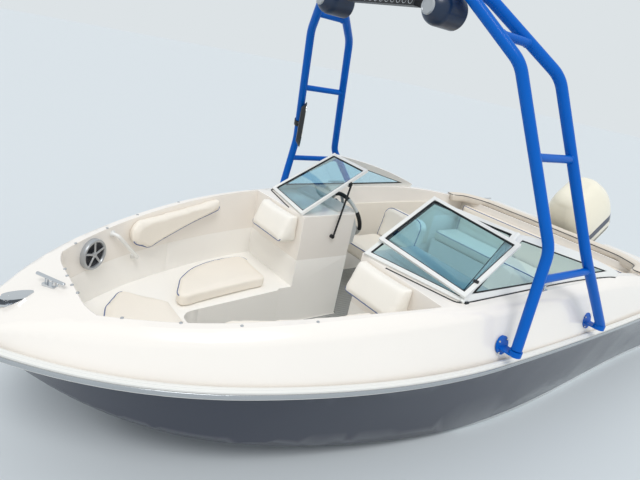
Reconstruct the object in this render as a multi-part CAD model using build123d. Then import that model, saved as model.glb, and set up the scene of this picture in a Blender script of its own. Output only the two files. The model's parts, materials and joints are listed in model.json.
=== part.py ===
"""A bowrider speedboat with an outboard motor and a wake tower, in millimetres.

+X points to the bow, +Y to port and +Z up. The origin is on the centreline at the waterline.
"""
from build123d import *
import math
import os

# Clearance between pieces that rest on each other
SEAT_GAP = 0.3

# Sheer, where hull and deck meet, seen from above
SHEER_Z = 620.0
TRANSOM_X = -2930.0
TRANSOM_HALF_BEAM = 1130.0
SHEER_START_ANGLE = 2.6
SHEER_POINTS = [
    (20.0, TRANSOM_HALF_BEAM),
    (1420.0, TRANSOM_HALF_BEAM * 81 / 113),
    (2210.0, TRANSOM_HALF_BEAM * 22 / 113),
]
HULL_INSET = 14.0
FLANGE_THICK = 18.0

# Hull sections: columns x, keel z, chine half breadth, chine z, chine flat width
HULL_STATIONS = [
    (TRANSOM_X, -270.0, TRANSOM_HALF_BEAM - 130.0, -10.0, 60.0),
    (-1200.0, -275.0, TRANSOM_HALF_BEAM - 120.0, 0.0, 60.0),
    (0.0, -270.0, TRANSOM_HALF_BEAM - 155.0, 40.0, 55.0),
    (900.0, -215.0, TRANSOM_HALF_BEAM - 330.0, 125.0, 50.0),
    (1500.0, -55.0, 600.0, 232.0, 40.0),
    (1950.0, 250.0, 330.0, 392.0, 22.0),
    (2230.0, 540.0, 60.0, 570.0, 4.0),
]
CHINE_FLAT_DROP = 8.0

# Deck sections: columns x, height of the top at the shoulder, crown at the centreline
DECK_STATIONS = [
    (TRANSOM_X, 760.0, 8.0),
    (-2300.0, 810.0, 10.0),
    (-1500.0, 915.0, 14.0),
    (0.0, 932.0, 26.0),
    (900.0, 902.0, 24.0),
    (1600.0, 830.0, 16.0),
    (2050.0, 760.0, 10.0),
    (2255.0, 672.0, 3.0),
]
DECK_FOOT_INSET = 10.0
SHOULDER_LOW_INSET = 62.0
SHOULDER_INSET = 130.0
SHOULDER_DROP = 62.0
SHOULDER_TURN = 20.0
SHOULDER_TURN_SHARE = 0.42
# The shoulder is at its full width and drop where the deck is this broad and this far above the sheer
SHOULDER_FULL_HALF = 420.0
SHOULDER_FULL_RISE = 160.0

# Openings in the deck, seen from above
WELL_EDGE_INSET = 165.0
WELL_FRONT_X = 1905.0
WELL_CORNER_R = 430.0
CONSOLE_FRONT_X = 400.0
WALKWAY_HALF = 300.0
WALKWAY_INTO_COCKPIT = 200.0
WALKWAY_INTO_BOW = 120.0
WALKWAY_CORNER_R = 20.0
DASH_X = -60.0
COCKPIT_EDGE_INSET = 195.0
MOTOR_WELL_FRONT_X = -2405.0
AFTER_DECK_WIDE = 175.0
COCKPIT_AFT_X = MOTOR_WELL_FRONT_X + AFTER_DECK_WIDE

# Cockpit tub
SOLE_Z = 120.0
SEAT_PAN_Z = 415.0
FOOTWELL_FRONT_X = 1270.0
FOOTWELL_HALF = 185.0
FOOTWELL_CORNER_R = 90.0
FOOTWELL_LAP = 40.0
LINER_JOINT_X = 1150.0
TUB_WALL = 22.0
MAT_THICK = 8.0
MAT_GAP = 14.0

# Motor well in the after deck and the cut-out in the transom
MOTOR_WELL_HALF = 330.0
TRANSOM_CUT_Z = 400.0
MOTOR_WELL_CORNER_R = 45.0
MOTOR_WELL_FLOOR_Z = 330.0
TRANSOM_THICK = 62.0
TRANSOM_CUT_REACH = 400.0

# Rub rail
RAIL_HIGH = 58.0
RAIL_OUT = 26.0
RAIL_INSERT_HIGH = 22.0
RAIL_INSERT_OUT = 7.0
RAIL_STEP_SHARE = 0.6
RAIL_NOSE_SHARE = 0.36

# Windshield corners: columns x, half breadth, z
SCREEN_BASE_IN = (382.0, 321.0, 968.0)
SCREEN_BASE_OUT = (232.0, TRANSOM_HALF_BEAM - 200.0, 950.0)
SCREEN_TOP_IN = (-97.0, 314.0, 1268.0)
SCREEN_TOP_OUT_Y = TRANSOM_HALF_BEAM - 279.0
SCREEN_TOP_OUT_X = -223.0
SCREEN_AFT_TIP = (-1400.0, TRANSOM_HALF_BEAM - 120.0, 958.0)
SCREEN_SIDE_BULGE = 30.0
SCREEN_FOOT = 34.0
CORNER_POST_R = 14.4
# Side pane opening: set back from the frame's fore end, foot, after end, and from its upper corner
SIDE_PANE_FORE = 26.0
SIDE_PANE_FOOT = 16.0
SIDE_PANE_AFT = 150.0
SIDE_PANE_HEAD = (30.0, 34.0)
FRAME_FACE = 24.0
FRAME_THICK = 18.0
GLASS_THICK = 6.0
GLASS_BITE = 8.0

# Opening centre window
WINDOW_GAP = 7.0
WINDOW_FOOT = 85.0
WINDOW_HEAD_GAP = 2.0
HINGE_OFFSET = 15.0
HINGE_SHARES = (0.32, 0.82)
HINGE_R = 5.5
KNUCKLE_LONG = 22.0
LEAF_LONG = 70.0
LEAF_THICK = 6.8
LEAF_DROP = 3.2
# Hinge leaves: distance across from the hinge line and width
FIXED_LEAF = (-4.0, 8.0)
MOVING_LEAF = (12.0, 20.0)
MOVING_BRIDGE = (16.0, 12.0)

# Wake tower: path points of the port half, columns x, y, z
TUBE_D = 57.0
RUNG_D = 42.0
FRONT_HOOP = [
    (-25.0, TRANSOM_HALF_BEAM + 10.0, 1290.0),
    (235.0, TRANSOM_HALF_BEAM - 300.0, 2110.0),
    (395.0, TRANSOM_HALF_BEAM - 625.0, 2400.0),
]
REAR_HOOP = [
    (-455.0, TRANSOM_HALF_BEAM + 22.0, 1215.0),
    (-125.0, TRANSOM_HALF_BEAM - 292.0, 2095.0),
    (285.0, TRANSOM_HALF_BEAM - 585.0, 2400.0),
]
HOOP_RADII = [220.0, 200.0, 150.0]
FRONT_FOOT_X = 20.0
REAR_FOOT_X = -890.0
FOOT_Z = 722.0
FOOT_DISC_R = 52.0
FOOT_DISC_THICK = 12.0
KNUCKLE_OUT = 92.0
KNUCKLE_R = 34.0
KNUCKLE_HIGH = 30.0
GUSSET_HALF = 36.4
GUSSET_THICK = 9.0
LOWER_RUNG_Z = 1132.0
UPPER_RUNG_Z = 1716.0
TOP_RUNG_Z = 2215.0

# Lamps, speakers and mirror on the tower
LIGHT_BAR_LENGTH = 540.0
LIGHT_BAR_SIZE = (62.0, 78.0)
LIGHT_BAR_DROP = 8.0
LAMP_FINS = 14
LAMP_FIN_SLOT = (16.0, 12.0)
LAMP_FIN_FLOOR = 6.0
LAMP_END = 25.0
LAMP_BRACKET_Y = 170.0
LAMP_BRACKET = (40.0, 30.0)
POD_Y = 430.0
POD_D = 158.0
POD_LENGTH = 200.0
POD_DROP = 12.0
POD_BARREL_X = 10.0
# Nose of a pod: share of its radius and of its length, halfway and at the tip
POD_NOSE_HALFWAY = (0.76, 0.38)
POD_NOSE_TIP = (0.42, 0.5)
POD_STRAP = (52.0, 38.0, 30.0)
POD_STRAP_SINK = 4.0
POD_RING_SHARES = (0.96, 0.82)
POD_RING_THICK = 7.0
POD_RING_GAP = 0.2
MIRROR_CENTRE = (74.0, 180.0 - TRANSOM_HALF_BEAM, 1441.0)
MIRROR_FACING = (-0.83, 0.55, 0.0)
MIRROR_HALF = (85.0, 175.0)
MIRROR_DEEP = 34.0
MIRROR_ARM_R = 9.0
MIRROR_ARM_SINK = 4.0
MIRROR_BACK_SHARES = (0.75, 0.6)
MIRROR_RIM = 8.0
MIRROR_GLASS_THICK = 3.0
MIRROR_GLASS_GAP = 0.2
MIRROR_CLAMP = (7.0, 46.0)

# Bow well cushions
CUSHION_THICK = 78.0
BACKREST_THICK = 142.0
SIDE_BACK_THICK = 62.0
AFT_BACK_Y = (345.0, 745.0)
AFT_BACK_Z = (735.0, 925.0)
CUSHION_CORNER_R = 55.0
FRONT_CUSHION_CORNER_R = 40.0
AFT_BACK_UPRIGHT = 25.0
AFT_BACK_LEAN = 68.0
AFT_BACK_END_R = 24.0
SOFT_GAP = 0.8
# Port seat cushion in plan, x and y: fore, inner and outer after corners, the bow of its side, the side's end
SIDE_SEAT_PLAN = [(1315.0, 212.0), (575.0, 338.0), (560.0, 715.0), (890.0, 690.0), (1185.0, 470.0)]
# Port half of the front cushion in plan, x and y
FRONT_SEAT_PLAN = [(1730.0, 150.0), (1690.0, 265.0), (1550.0, 445.0), (1318.0, 235.0)]
# Port side backrest seen from the side, x and z: straight edges and the arcs round its fore end
SIDE_BACK_TOP = [(760.0, 898.0), (1388.0, 850.0)]
SIDE_BACK_NOSE = [(1388.0, 850.0), (1448.0, 798.0), (1372.0, 664.0)]
SIDE_BACK_CHIN = [(1372.0, 664.0), (1335.0, 638.0), (1285.0, 649.0)]
SIDE_BACK_HEEL = (760.0, 815.0)
SIDE_BACK_TOP_Z = 930.0

# Bow speakers
SPEAKER_X = 1700.0
SPEAKER_Z = 712.0
SPEAKER_OUT = 14.0
SPEAKER_R = 89.0
SPEAKER_OPEN_R = 70.0
SPEAKER_RING_THICK = 16.0
SPEAKER_DEEP = 22.0
SPEAKER_CONE = (71.0, 4.0)
SPEAKER_SPOKES = 5
SPEAKER_SPOKE = (72.0, 11.0, 8.0)
SPEAKER_SPOKE_AT = (37.0, 0.0, 8.0)
SPEAKER_CAP = (16.0, 14.0)

# Bow grab handles
HANDLE_X = (1412.0, 1568.0)
HANDLE_Z = (600.0, 790.0)
HANDLE_OUT = 44.0
HANDLE_R = 11.0
HANDLE_FOOT_SHARE = 1.8
HANDLE_FOOT_THICK = 7.0

# Cleats: columns x, y, turn in degrees
CLEATS = [
    (1990.0, 0.0, 120.0),
    (-420.0, TRANSOM_HALF_BEAM - 130.0, 0.0),
    (-420.0, 130.0 - TRANSOM_HALF_BEAM, 0.0),
    (-2640.0, TRANSOM_HALF_BEAM - 190.0, 0.0),
    (-2640.0, 190.0 - TRANSOM_HALF_BEAM, 0.0),
]
CLEAT_FOOT = (72.0, 32.0, 12.0)
CLEAT_SINK = 6.0
CLEAT_POSTS = (-22.0, 22.0)
CLEAT_POST_R = 9.0
CLEAT_POST_Z = 5.0
CLEAT_POST_HIGH = 24.0
CLEAT_BAR_R = 8.5
CLEAT_BAR_LONG = 172.0
CLEAT_BAR_Z = 34.0
CLEAT_BAR_END_R = 7.0

# Towing eye on the stem: its place between two hull sections, half width, sink, reach, bend and rod
EYE_STATIONS = (4, 5)
EYE_SHARE = 0.62
EYE_HALF = 24.0
EYE_SINK = 40.0
EYE_OUT = 58.0
EYE_BEND_R = 20.0
EYE_ROD_R = 6.5

# Lamp on the bow: place, foot and head as half length and half width, sink and height
BOW_LIGHT_X = 2115.0
BOW_LIGHT_FOOT = (85.0, 38.0)
BOW_LIGHT_HEAD = (64.0, 22.0)
BOW_LIGHT_SINK = 10.0
BOW_LIGHT_HIGH = 36.0

# Cockpit seats: columns are the two seats, helm to starboard and passenger to port
SEAT_X = -620.0
SEAT_Y = 560.0
SEAT_WIDE = 480.0
SEAT_DEEP = 460.0
SEAT_TOP_Z = 560.0
SEAT_CUSHION_THICK = 110.0
SEAT_BACK_HIGH = 380.0
SEAT_BACK_THICK = 100.0
SEAT_BACK_RAKE = 10.0
SEAT_CORNER_R = 60.0
SEAT_BACK_CORNER_R = 90.0
SEAT_BACK_SET = 30.0
SEAT_BACK_LIFT = 18.0
PEDESTAL_R = 38.0
PEDESTAL_FOOT = (130.0, 12.0)
PEDESTAL_PLATE = (300.0, 24.0)

# After bench
BENCH_DEEP = 470.0
BENCH_FRONT_X = COCKPIT_AFT_X + BENCH_DEEP
BENCH_SIDE_GAP = 55.0
BENCH_HALF = TRANSOM_HALF_BEAM - COCKPIT_EDGE_INSET - BENCH_SIDE_GAP
BENCH_TOE_SPACE = 25.0
BENCH_CORNER_R = 50.0
BENCH_PAD_GAP = 2.0
BENCH_TOP_Z = 500.0
BENCH_CUSHION_THICK = 100.0
BENCH_BACK_THICK = 95.0
BENCH_BACK_TOP_Z = 780.0
BOLSTER_WIDE = 118.0
BOLSTER_HIGH = 62.0
BOLSTER_LIP = 22.0
BOLSTER_TURN = 150.0
BOLSTER_ROUND = 0.42
# Points of the bolster's port half from its forward end to the centreline: columns x, y
BOLSTER_PATH = [
    (COCKPIT_AFT_X + 245.0, TRANSOM_HALF_BEAM - 162.0),
    (COCKPIT_AFT_X + 50.0, TRANSOM_HALF_BEAM - 200.0),
    (COCKPIT_AFT_X - 75.0, TRANSOM_HALF_BEAM - 430.0),
    (COCKPIT_AFT_X - 92.0, 0.0),
]

# Trim panels on the cockpit sides
PANEL_GAP = 1.0
PANEL_THICK = 10.0
PANEL_LOW = 190.0
PANEL_TOP_Z = 790.0
PANEL_AFT = 60.0
PANEL_FRONT_X = -260.0

# Dashboards: outline in x and z, outer edge and width across the boat
HELM_DASH_OUTLINE = [
    (90.0, 900.0), (70.0, 958.0), (-40.0, 982.0), (-80.0, 962.0), (-150.0, 800.0), (-140.0, 700.0),
]
HELM_DASH_Y = -870.0
PORT_DASH_OUTLINE = [(-115.0, 905.0), (-125.0, 700.0)]
PORT_DASH_Y = 340.0
PORT_DASH_TOP_Z = 925.0
DASH_FOOT_Z = 660.0
HELM_DASH_WIDE = 520.0
PORT_DASH_WIDE = 540.0

# Steering
WHEEL_CENTRE = (-200.0, -560.0, 850.0)
WHEEL_R = 172.0
WHEEL_GRIP_R = 14.0
WHEEL_TILT = 25.0
WHEEL_HUB = (38.0, 30.0)
WHEEL_HUB_SET = 12.0
WHEEL_SPOKE_ANGLES = (90.0, 210.0, 330.0)
WHEEL_SPOKE = (30.0, 8.0)
WHEEL_SPOKE_SET = 8.0
COLUMN_R = 18.0
COLUMN_LENGTH = 62.0

# Outboard motor, upright, measured from its tilt tube: +X forward, +Z up
MOTOR_TILT = 36.0
TILT_AXIS_X = TRANSOM_X + 40.0
TILT_AXIS_Z = TRANSOM_CUT_Z + 58.0
TILT_PIN_R = 14.0
PIN_CLEARANCE = 0.4
STEER_AXIS_X = -135.0
STEER_PIN_R = 18.0
CLAMP_INNER_Y = 92.0
CLAMP_THICK = 20.0
SWIVEL_HALF = 84.0
SWIVEL_LOW_Z = -330.0
LEG_TOP_Z = 96.0
PAN_FLOOR_Z = 190.0
COWL_SEAM_Z = 250.0
COWL_TOP_Z = 800.0
COWL_WALL = 6.0
# Sections of the cover from its seam to its shoulder: columns z, centre x, length, width, corner radius
COWL_SECTIONS = [
    (COWL_SEAM_Z, -242.0, 628.0, 446.0, 150.0),
    (400.0, -240.0, 636.0, 456.0, 160.0),
    (600.0, -236.0, 592.0, 420.0, 160.0),
    (COWL_TOP_Z - 70.0, -232.0, 470.0, 330.0, 140.0),
]
COWL_CROWN = [
    (COWL_TOP_Z - 70.0, -232.0, 470.0, 330.0, 140.0),
    (COWL_TOP_Z - 28.0, -232.0, 410.0, 270.0, 120.0),
    (COWL_TOP_Z, -232.0, 270.0, 150.0, 70.0),
]
PAN_SECTIONS = [
    (LEG_TOP_Z + SEAT_GAP, -300.0, 400.0, 250.0, 90.0),
    (165.0, -262.0, 560.0, 390.0, 130.0),
    (COWL_SEAM_Z - SEAT_GAP, -242.0, 620.0, 438.0, 146.0),
]
PAN_ROOM = (-250.0, 540.0, 350.0, 110.0)
PAN_ROOM_HIGH = 200.0
ENGINE_X = (-443.0, -43.0)
ENGINE_HALF = 140.0
ENGINE_TOP_Z = 618.0
PLATE_Z = -712.0
# Sections of the leg: columns z, centre x, length, width, corner radius
LEG_FOOT = (PLATE_Z, -300.0, 210.0, 92.0, 44.0)
LEG_WAIST = (-120.0, -300.0, 210.0, 130.0, 60.0)
LEG_HEAD = (LEG_TOP_Z, -325.0, 270.0, 200.0, 80.0)
# Steering arms over and under the swivel: height, length past the axes, width, thickness
UPPER_ARM = (78.0, 110.0, 120.0, 36.0)
LOWER_ARM = (SWIVEL_LOW_Z - 24.0, 90.0, 90.0, 36.0)
LEG_AXIS_X = -300.0
PLATE_SIZE = (430.0, 210.0, 80.0)
PLATE_X = -345.0
PLATE_LIFT = 4.0
PLATE_THICK = 9.0
GEARCASE_Z = -900.0
STRUT_FOOT = (GEARCASE_Z + 30.0, -300.0, 190.0, 60.0, 28.0)
STRUT_HEAD = (PLATE_Z - SEAT_GAP, -300.0, 210.0, 88.0, 40.0)
TORPEDO_NOSE_X = -150.0
TORPEDO_NOSE = (30.0, 110.0)
TORPEDO_NOSE_SHARE = 0.62
TORPEDO_TAIL = 60.0
SKEG_OUTLINE = [(-225.0, -20.0), (-400.0, -20.0), (-425.0, -190.0), (-345.0, -190.0)]
SKEG_HALF = 5.0
GEARCASE_R = 56.0
PROP_R = 172.0
PROP_HUB_R = 44.0
PROP_HUB_LONG = 112.0
PROP_X = -500.0
PROP_BLADES = 3
# Blade sections: columns distance from the shaft, chord, thickness, pitch in degrees
BLADE_SECTIONS = [
    (PROP_HUB_R - 10.0, 70.0, 14.0, 58.0),
    (PROP_R * 0.55, 118.0, 9.0, 40.0),
    (PROP_R * 0.82, 108.0, 6.0, 30.0),
    (PROP_R, 52.0, 4.0, 24.0),
]
BLADE_ROUND = 0.4

# Clamp and swivel, from the tilt tube: outlines in x and z
CLAMP_LOW = 90.0
CLAMP_AFT = 26.0
CLAMP_HOOK = (22.0, 14.0, 62.0)
CLAMP_HEAD = [(-30.0, 22.0), (28.0, 24.0)]
CLAMP_HEEL = (-62.0, -60.0)
TILT_PIN_END = 24.0
SWIVEL_NOSE = [(-34.0, 30.0), (26.0, 30.0), (34.0, 0.0), (22.0, -28.0), (-92.0, -70.0)]
SWIVEL_NECK_X = -98.0
SWIVEL_SHOULDER = (-70.0, 46.0)
SWIVEL_SET = (10.0, 40.0)
SWIVEL_PLATE_HALF = 46.0
SWIVEL_TUBE_R = 32.0
SWIVEL_BARREL_R = 40.0
SWIVEL_TOP_Z = 46.0

# Screen stay
STAY_R = 7.0
STAY_TOP_SHARE = 0.30
STAY_TOP_Y = -312.0
STAY_DROP = 22.0
STAY_FOOT = (134.0, -275.0, 789.0)
STAY_LUG = (30.0, 22.0)

# Cutting shapes: wider than the boat, higher than the deck, and how far they lap
CUT_WIDE = 4 * TRANSOM_HALF_BEAM
CUT_HIGH = 1200.0
LAP = 1.0

UPWARD = (Align.CENTER, Align.CENTER, Align.MIN)

PARTS = {}


def add(name, shape):
    """Keep a shape under the name of its node."""
    PARTS[name] = shape


def both_sides(shape):
    """A port shape and its mirror image to starboard."""
    return Compound(children=[*shape.solids(), *mirror(shape, about=Plane.XZ).solids()])


def slab(face, bottom, top):
    """A plan face stood up between two heights."""
    return extrude(Pos(0, 0, bottom) * face, amount=top - bottom)


def block(x0, x1, y0, y1, z0, z1):
    """A box between two corners."""
    return Pos((x0 + x1) / 2, (y0 + y1) / 2, (z0 + z1) / 2) * Box(abs(x1 - x0), abs(y1 - y0), abs(z1 - z0))


def sheer_arcs():
    """Tangent arcs of the port sheer from transom to stem: rows of centre, radius, start, end."""
    point = (TRANSOM_X, TRANSOM_HALF_BEAM)
    angle = math.radians(SHEER_START_ANGLE)
    rows = []
    for target in SHEER_POINTS:
        dx, dy = target[0] - point[0], target[1] - point[1]
        inward = (math.sin(angle), -math.cos(angle))
        radius = (dx * dx + dy * dy) / (2 * (inward[0] * dx + inward[1] * dy))
        centre = (point[0] + inward[0] * radius, point[1] + inward[1] * radius)
        rows.append((centre, radius, point, target))
        angle = 2 * math.atan2(dy, dx) - angle
        point = target
    inward = (math.sin(angle), -math.cos(angle))
    reach = -point[1] / inward[1]
    centre = (point[0] + inward[0] * reach, 0.0)
    rows.append((centre, reach, point, (centre[0] + reach, 0.0)))
    return rows


ARCS = sheer_arcs()
STEM_X = ARCS[-1][3][0]


def half_breadth(x, inset=0.0):
    """Half breadth of the sheer at x, inset by a distance."""
    for centre, radius, start, end in ARCS:
        reach = radius - inset
        last = centre[0] + (end[0] - centre[0]) * reach / radius
        if x <= last:
            return centre[1] + math.sqrt(max(reach * reach - (x - centre[0]) ** 2, 0.0))
    return 0.0


def sheer_face(inset):
    """The plan of the boat inside the sheer, inset by a distance."""
    edges = []
    for centre, radius, start, end in ARCS[:-1]:
        scale = (radius - inset) / radius
        p = [centre[i] + (start[i] - centre[i]) * scale for i in (0, 1)]
        q = [centre[i] + (end[i] - centre[i]) * scale for i in (0, 1)]
        if start[0] == TRANSOM_X:
            p = [TRANSOM_X, centre[1] + math.sqrt((radius - inset) ** 2 - (TRANSOM_X - centre[0]) ** 2)]
        middle = [(p[0] + q[0]) / 2 - centre[0], (p[1] + q[1]) / 2 - centre[1]]
        size = math.hypot(*middle)
        m = [centre[i] + middle[i] / size * (radius - inset) for i in (0, 1)]
        edges.append(ThreePointArc(tuple(p), tuple(m), tuple(q)).edge())
        edges.append(ThreePointArc((p[0], -p[1]), (m[0], -m[1]), (q[0], -q[1])).edge())
        if start[0] == TRANSOM_X:
            edges.append(Line((p[0], p[1]), (p[0], -p[1])).edge())
    centre, radius, start, end = ARCS[-1]
    scale = (radius - inset) / radius
    p = [centre[i] + (start[i] - centre[i]) * scale for i in (0, 1)]
    edges.append(ThreePointArc(tuple(p), (centre[0] + radius - inset, 0), (p[0], -p[1])).edge())
    return make_face(Wire(edges))


def ring(x, half):
    """Corners of a closed section at x, from its port half listed from the bottom up."""
    port = [Vector(x, y, z) for y, z in half]
    return port + [Vector(x, -y, z) for y, z in reversed(half) if y > 0]


def skin(rings):
    """A solid whose long edges are fair curves through the corners of its sections."""
    curves = [Spline(*corners).edge() for corners in zip(*rings)]
    faces = [Face.make_surface_from_curves(a, b) for a, b in zip(curves, curves[1:] + curves[:1])]
    faces += [make_face(Polyline(*rings[i], close=True)).face() for i in (0, -1)]
    return Solid(Shell(faces))


def rounded_plan(x0, x1, half, radius):
    """A rounded rectangle in plan, symmetric about the centreline."""
    return Pos((x0 + x1) / 2, 0) * RectangleRounded(x1 - x0, 2 * half, radius)


def well_plan(grow=0.0):
    """Plan of the bow well, from the console fronts to its rounded front."""
    front = rounded_plan(CONSOLE_FRONT_X - WELL_CORNER_R * 2, WELL_FRONT_X + grow,
                         half_breadth(WELL_FRONT_X - WELL_CORNER_R, WELL_EDGE_INSET) + grow,
                         WELL_CORNER_R + grow)
    aft = Pos(STEM_X, 0) * Rectangle(2 * (STEM_X - CONSOLE_FRONT_X + grow), CUT_WIDE)
    sides = sheer_face(WELL_EDGE_INSET - grow)
    wide = Pos((CONSOLE_FRONT_X - grow + WELL_FRONT_X - WELL_CORNER_R) / 2, 0) * Rectangle(
        WELL_FRONT_X - WELL_CORNER_R - CONSOLE_FRONT_X + grow, CUT_WIDE)
    return (sides & wide) + (sides & front & aft)


def cockpit_plan(grow=0.0):
    """Plan of the cockpit, from the dashboards to the after bench."""
    between = Pos((COCKPIT_AFT_X + DASH_X) / 2, 0) * Rectangle(DASH_X - COCKPIT_AFT_X + 2 * grow, CUT_WIDE)
    return sheer_face(COCKPIT_EDGE_INSET - grow) & between


def walkway_plan(grow=0.0):
    """Plan of the walkway between the consoles."""
    return rounded_plan(DASH_X - WALKWAY_INTO_COCKPIT, CONSOLE_FRONT_X + WALKWAY_INTO_BOW, WALKWAY_HALF + grow,
                        WALKWAY_CORNER_R)


def footwell_plan(grow=0.0):
    """Plan of the footwell in the bow, which narrows to its rounded front."""
    aft, front = CONSOLE_FRONT_X - FOOTWELL_LAP, FOOTWELL_FRONT_X + grow
    wide, narrow = WALKWAY_HALF + grow, FOOTWELL_HALF + grow
    plan = make_face(Polyline((aft, wide), (front, narrow), (front, -narrow), (aft, -wide), close=True))
    return fillet(plan.vertices().sort_by(Axis.X)[-2:], FOOTWELL_CORNER_R + grow)


def cockpit_space(grow, top):
    """The open space inside the boat up to a height, grown by a wall."""
    low = SOLE_Z - grow
    space = slab(cockpit_plan(grow), low, top)
    space += slab(walkway_plan(grow), low, top)
    space += slab(footwell_plan(grow), low, top)
    space += slab(well_plan(grow), SEAT_PAN_Z - grow, top)
    return space


def motor_well():
    """The open space for the motor in the after deck and transom."""
    over = rounded_plan(TRANSOM_X - TRANSOM_CUT_REACH, MOTOR_WELL_FRONT_X, MOTOR_WELL_HALF, MOTOR_WELL_CORNER_R)
    sump = rounded_plan(TRANSOM_X + TRANSOM_THICK, MOTOR_WELL_FRONT_X, MOTOR_WELL_HALF, MOTOR_WELL_CORNER_R)
    return slab(over, TRANSOM_CUT_Z, CUT_HIGH) + slab(sump, MOTOR_WELL_FLOOR_Z, TRANSOM_CUT_Z + LAP)


def make_hull():
    """The hull moulding: a V bottom with hard chines, flared sides and a flange at the sheer."""
    rings = []
    for x, keel, chine, chine_z, flat in HULL_STATIONS:
        top = half_breadth(x, HULL_INSET)
        flat_edge = (chine - flat, chine_z - CHINE_FLAT_DROP)
        half = [(0, keel), flat_edge, (chine, chine_z), (top, SHEER_Z - FLANGE_THICK)]
        rings.append(ring(x, half))
    body = skin(rings)
    body += slab(sheer_face(0.0), SHEER_Z - FLANGE_THICK, SHEER_Z)
    return body - cockpit_space(TUB_WALL, SHEER_Z + LAP) - motor_well()


def deck_top(x):
    """Height of the deck's shoulder at x, between the deck sections."""
    for (x0, z0, _), (x1, z1, _) in zip(DECK_STATIONS, DECK_STATIONS[1:]):
        if x <= x1:
            return z0 + (z1 - z0) * (x - x0) / (x1 - x0)
    return DECK_STATIONS[-1][1]


def make_deck():
    """The deck moulding: steep sides, a rounded shoulder and a low crown."""
    rings = []
    for x, top, crown in DECK_STATIONS:
        foot = half_breadth(x, DECK_FOOT_INSET)
        room = min(1.0, foot / SHOULDER_FULL_HALF)
        low = foot - SHOULDER_LOW_INSET * room
        edge = foot - SHOULDER_INSET * room
        drop = SHOULDER_DROP * min(1.0, (top - SHEER_Z) / SHOULDER_FULL_RISE)
        turn = (low - SHOULDER_TURN * room, top - drop * SHOULDER_TURN_SHARE)
        half = [(0, SHEER_Z), (foot, SHEER_Z), (low, top - drop), turn, (edge, top), (0, top + crown)]
        rings.append(ring(x, half))
    body = skin(rings)
    return body - cockpit_space(0.0, CUT_HIGH) - motor_well()


def deck_side(x, z):
    """Half breadth of the deck's steep side at x and a height below its shoulder."""
    foot = half_breadth(x, DECK_FOOT_INSET)
    rise = deck_top(x) - SHOULDER_DROP - SHEER_Z
    return foot - SHOULDER_LOW_INSET * (z - SHEER_Z) / rise


def side_normal(x):
    """Outward normal of the deck's port side at x."""
    rise = deck_top(x) - SHOULDER_DROP - SHEER_Z
    return Vector(0, rise, SHOULDER_LOW_INSET).normalized()


def rub_rail():
    """The rail round the sheer, stepped like an extrusion, and its bright insert."""
    shelf = sheer_face(0.0)
    step, nose, strip = RAIL_HIGH / 2, RAIL_HIGH * RAIL_NOSE_SHARE, RAIL_INSERT_HIGH / 2
    low = slab(sheer_face(-RAIL_OUT * RAIL_STEP_SHARE) - shelf, SHEER_Z - step, SHEER_Z + step)
    high = slab(sheer_face(-RAIL_OUT) - shelf, SHEER_Z - nose, SHEER_Z + nose)
    bright = sheer_face(-RAIL_OUT - RAIL_INSERT_OUT) - sheer_face(-RAIL_OUT)
    insert = slab(bright, SHEER_Z - strip, SHEER_Z + strip)
    return low + high, insert


def bow_cushions():
    """Seat cushions of the bow well: port, starboard and forward."""
    low, top = SEAT_PAN_Z, SEAT_PAN_Z + CUSHION_THICK
    fore, inner, outer, side, end = SIDE_SEAT_PLAN
    seat = make_face([
        Line(fore, inner).edge(), Line(inner, outer).edge(), ThreePointArc(outer, side, end).edge(),
        Line(end, fore).edge(),
    ])
    seat = fillet(seat.vertices(), CUSHION_CORNER_R)
    front = make_face(Polyline(*FRONT_SEAT_PLAN, *[(x, -y) for x, y in reversed(FRONT_SEAT_PLAN)], close=True))
    front = fillet(front.vertices().sort_by(Axis.X)[:4], FRONT_CUSHION_CORNER_R)
    return slab(seat, low, top), slab(front, low, top)


def side_backrest():
    """The port backrest high on the wall of the bow well, deepest near its front end."""
    wall = WELL_EDGE_INSET + SOFT_GAP / 2
    plan = sheer_face(wall) - sheer_face(wall + SIDE_BACK_THICK)
    outline = make_face([
        Line(*SIDE_BACK_TOP).edge(), ThreePointArc(*SIDE_BACK_NOSE).edge(),
        ThreePointArc(*SIDE_BACK_CHIN).edge(), Line(SIDE_BACK_CHIN[-1], SIDE_BACK_HEEL).edge(),
        Line(SIDE_BACK_HEEL, SIDE_BACK_TOP[0]).edge(),
    ])
    return slab(plan, SEAT_PAN_Z, SIDE_BACK_TOP_Z) & extrude(Plane.XZ * outline, amount=-CUT_WIDE)


def aft_backrest():
    """The port backrest on the console front, leaning back with rounded ends."""
    (y0, y1), (z0, z1) = AFT_BACK_Y, AFT_BACK_Z
    back = CONSOLE_FRONT_X + SOFT_GAP / 2
    front = back + BACKREST_THICK
    crest = (front - AFT_BACK_LEAN, z1)
    profile = make_face(Polyline(
        (back, z0), (front, z0), (front, z0 + AFT_BACK_UPRIGHT), crest, (back, z1), close=True))
    pad = extrude(Plane(origin=(0, y1, 0), x_dir=(1, 0, 0), z_dir=(0, -1, 0)) * profile, amount=y1 - y0)
    return fillet(pad.edges().filter_by(Axis.Z).sort_by(Axis.X)[-2:], AFT_BACK_END_R)


def well_wall(x):
    """A point on the port wall of the bow well at x, and the wall's inward normal."""
    def wall(at):
        corner = WELL_FRONT_X - WELL_CORNER_R
        side = half_breadth(at, WELL_EDGE_INSET)
        if at <= corner:
            return side
        half = half_breadth(corner, WELL_EDGE_INSET)
        return min(side, half - WELL_CORNER_R + math.sqrt(WELL_CORNER_R ** 2 - (at - corner) ** 2))
    slope = (wall(x + 2.0) - wall(x - 2.0)) / 4.0
    return Vector(x, wall(x), 0), Vector(slope, -1.0, 0).normalized()


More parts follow.
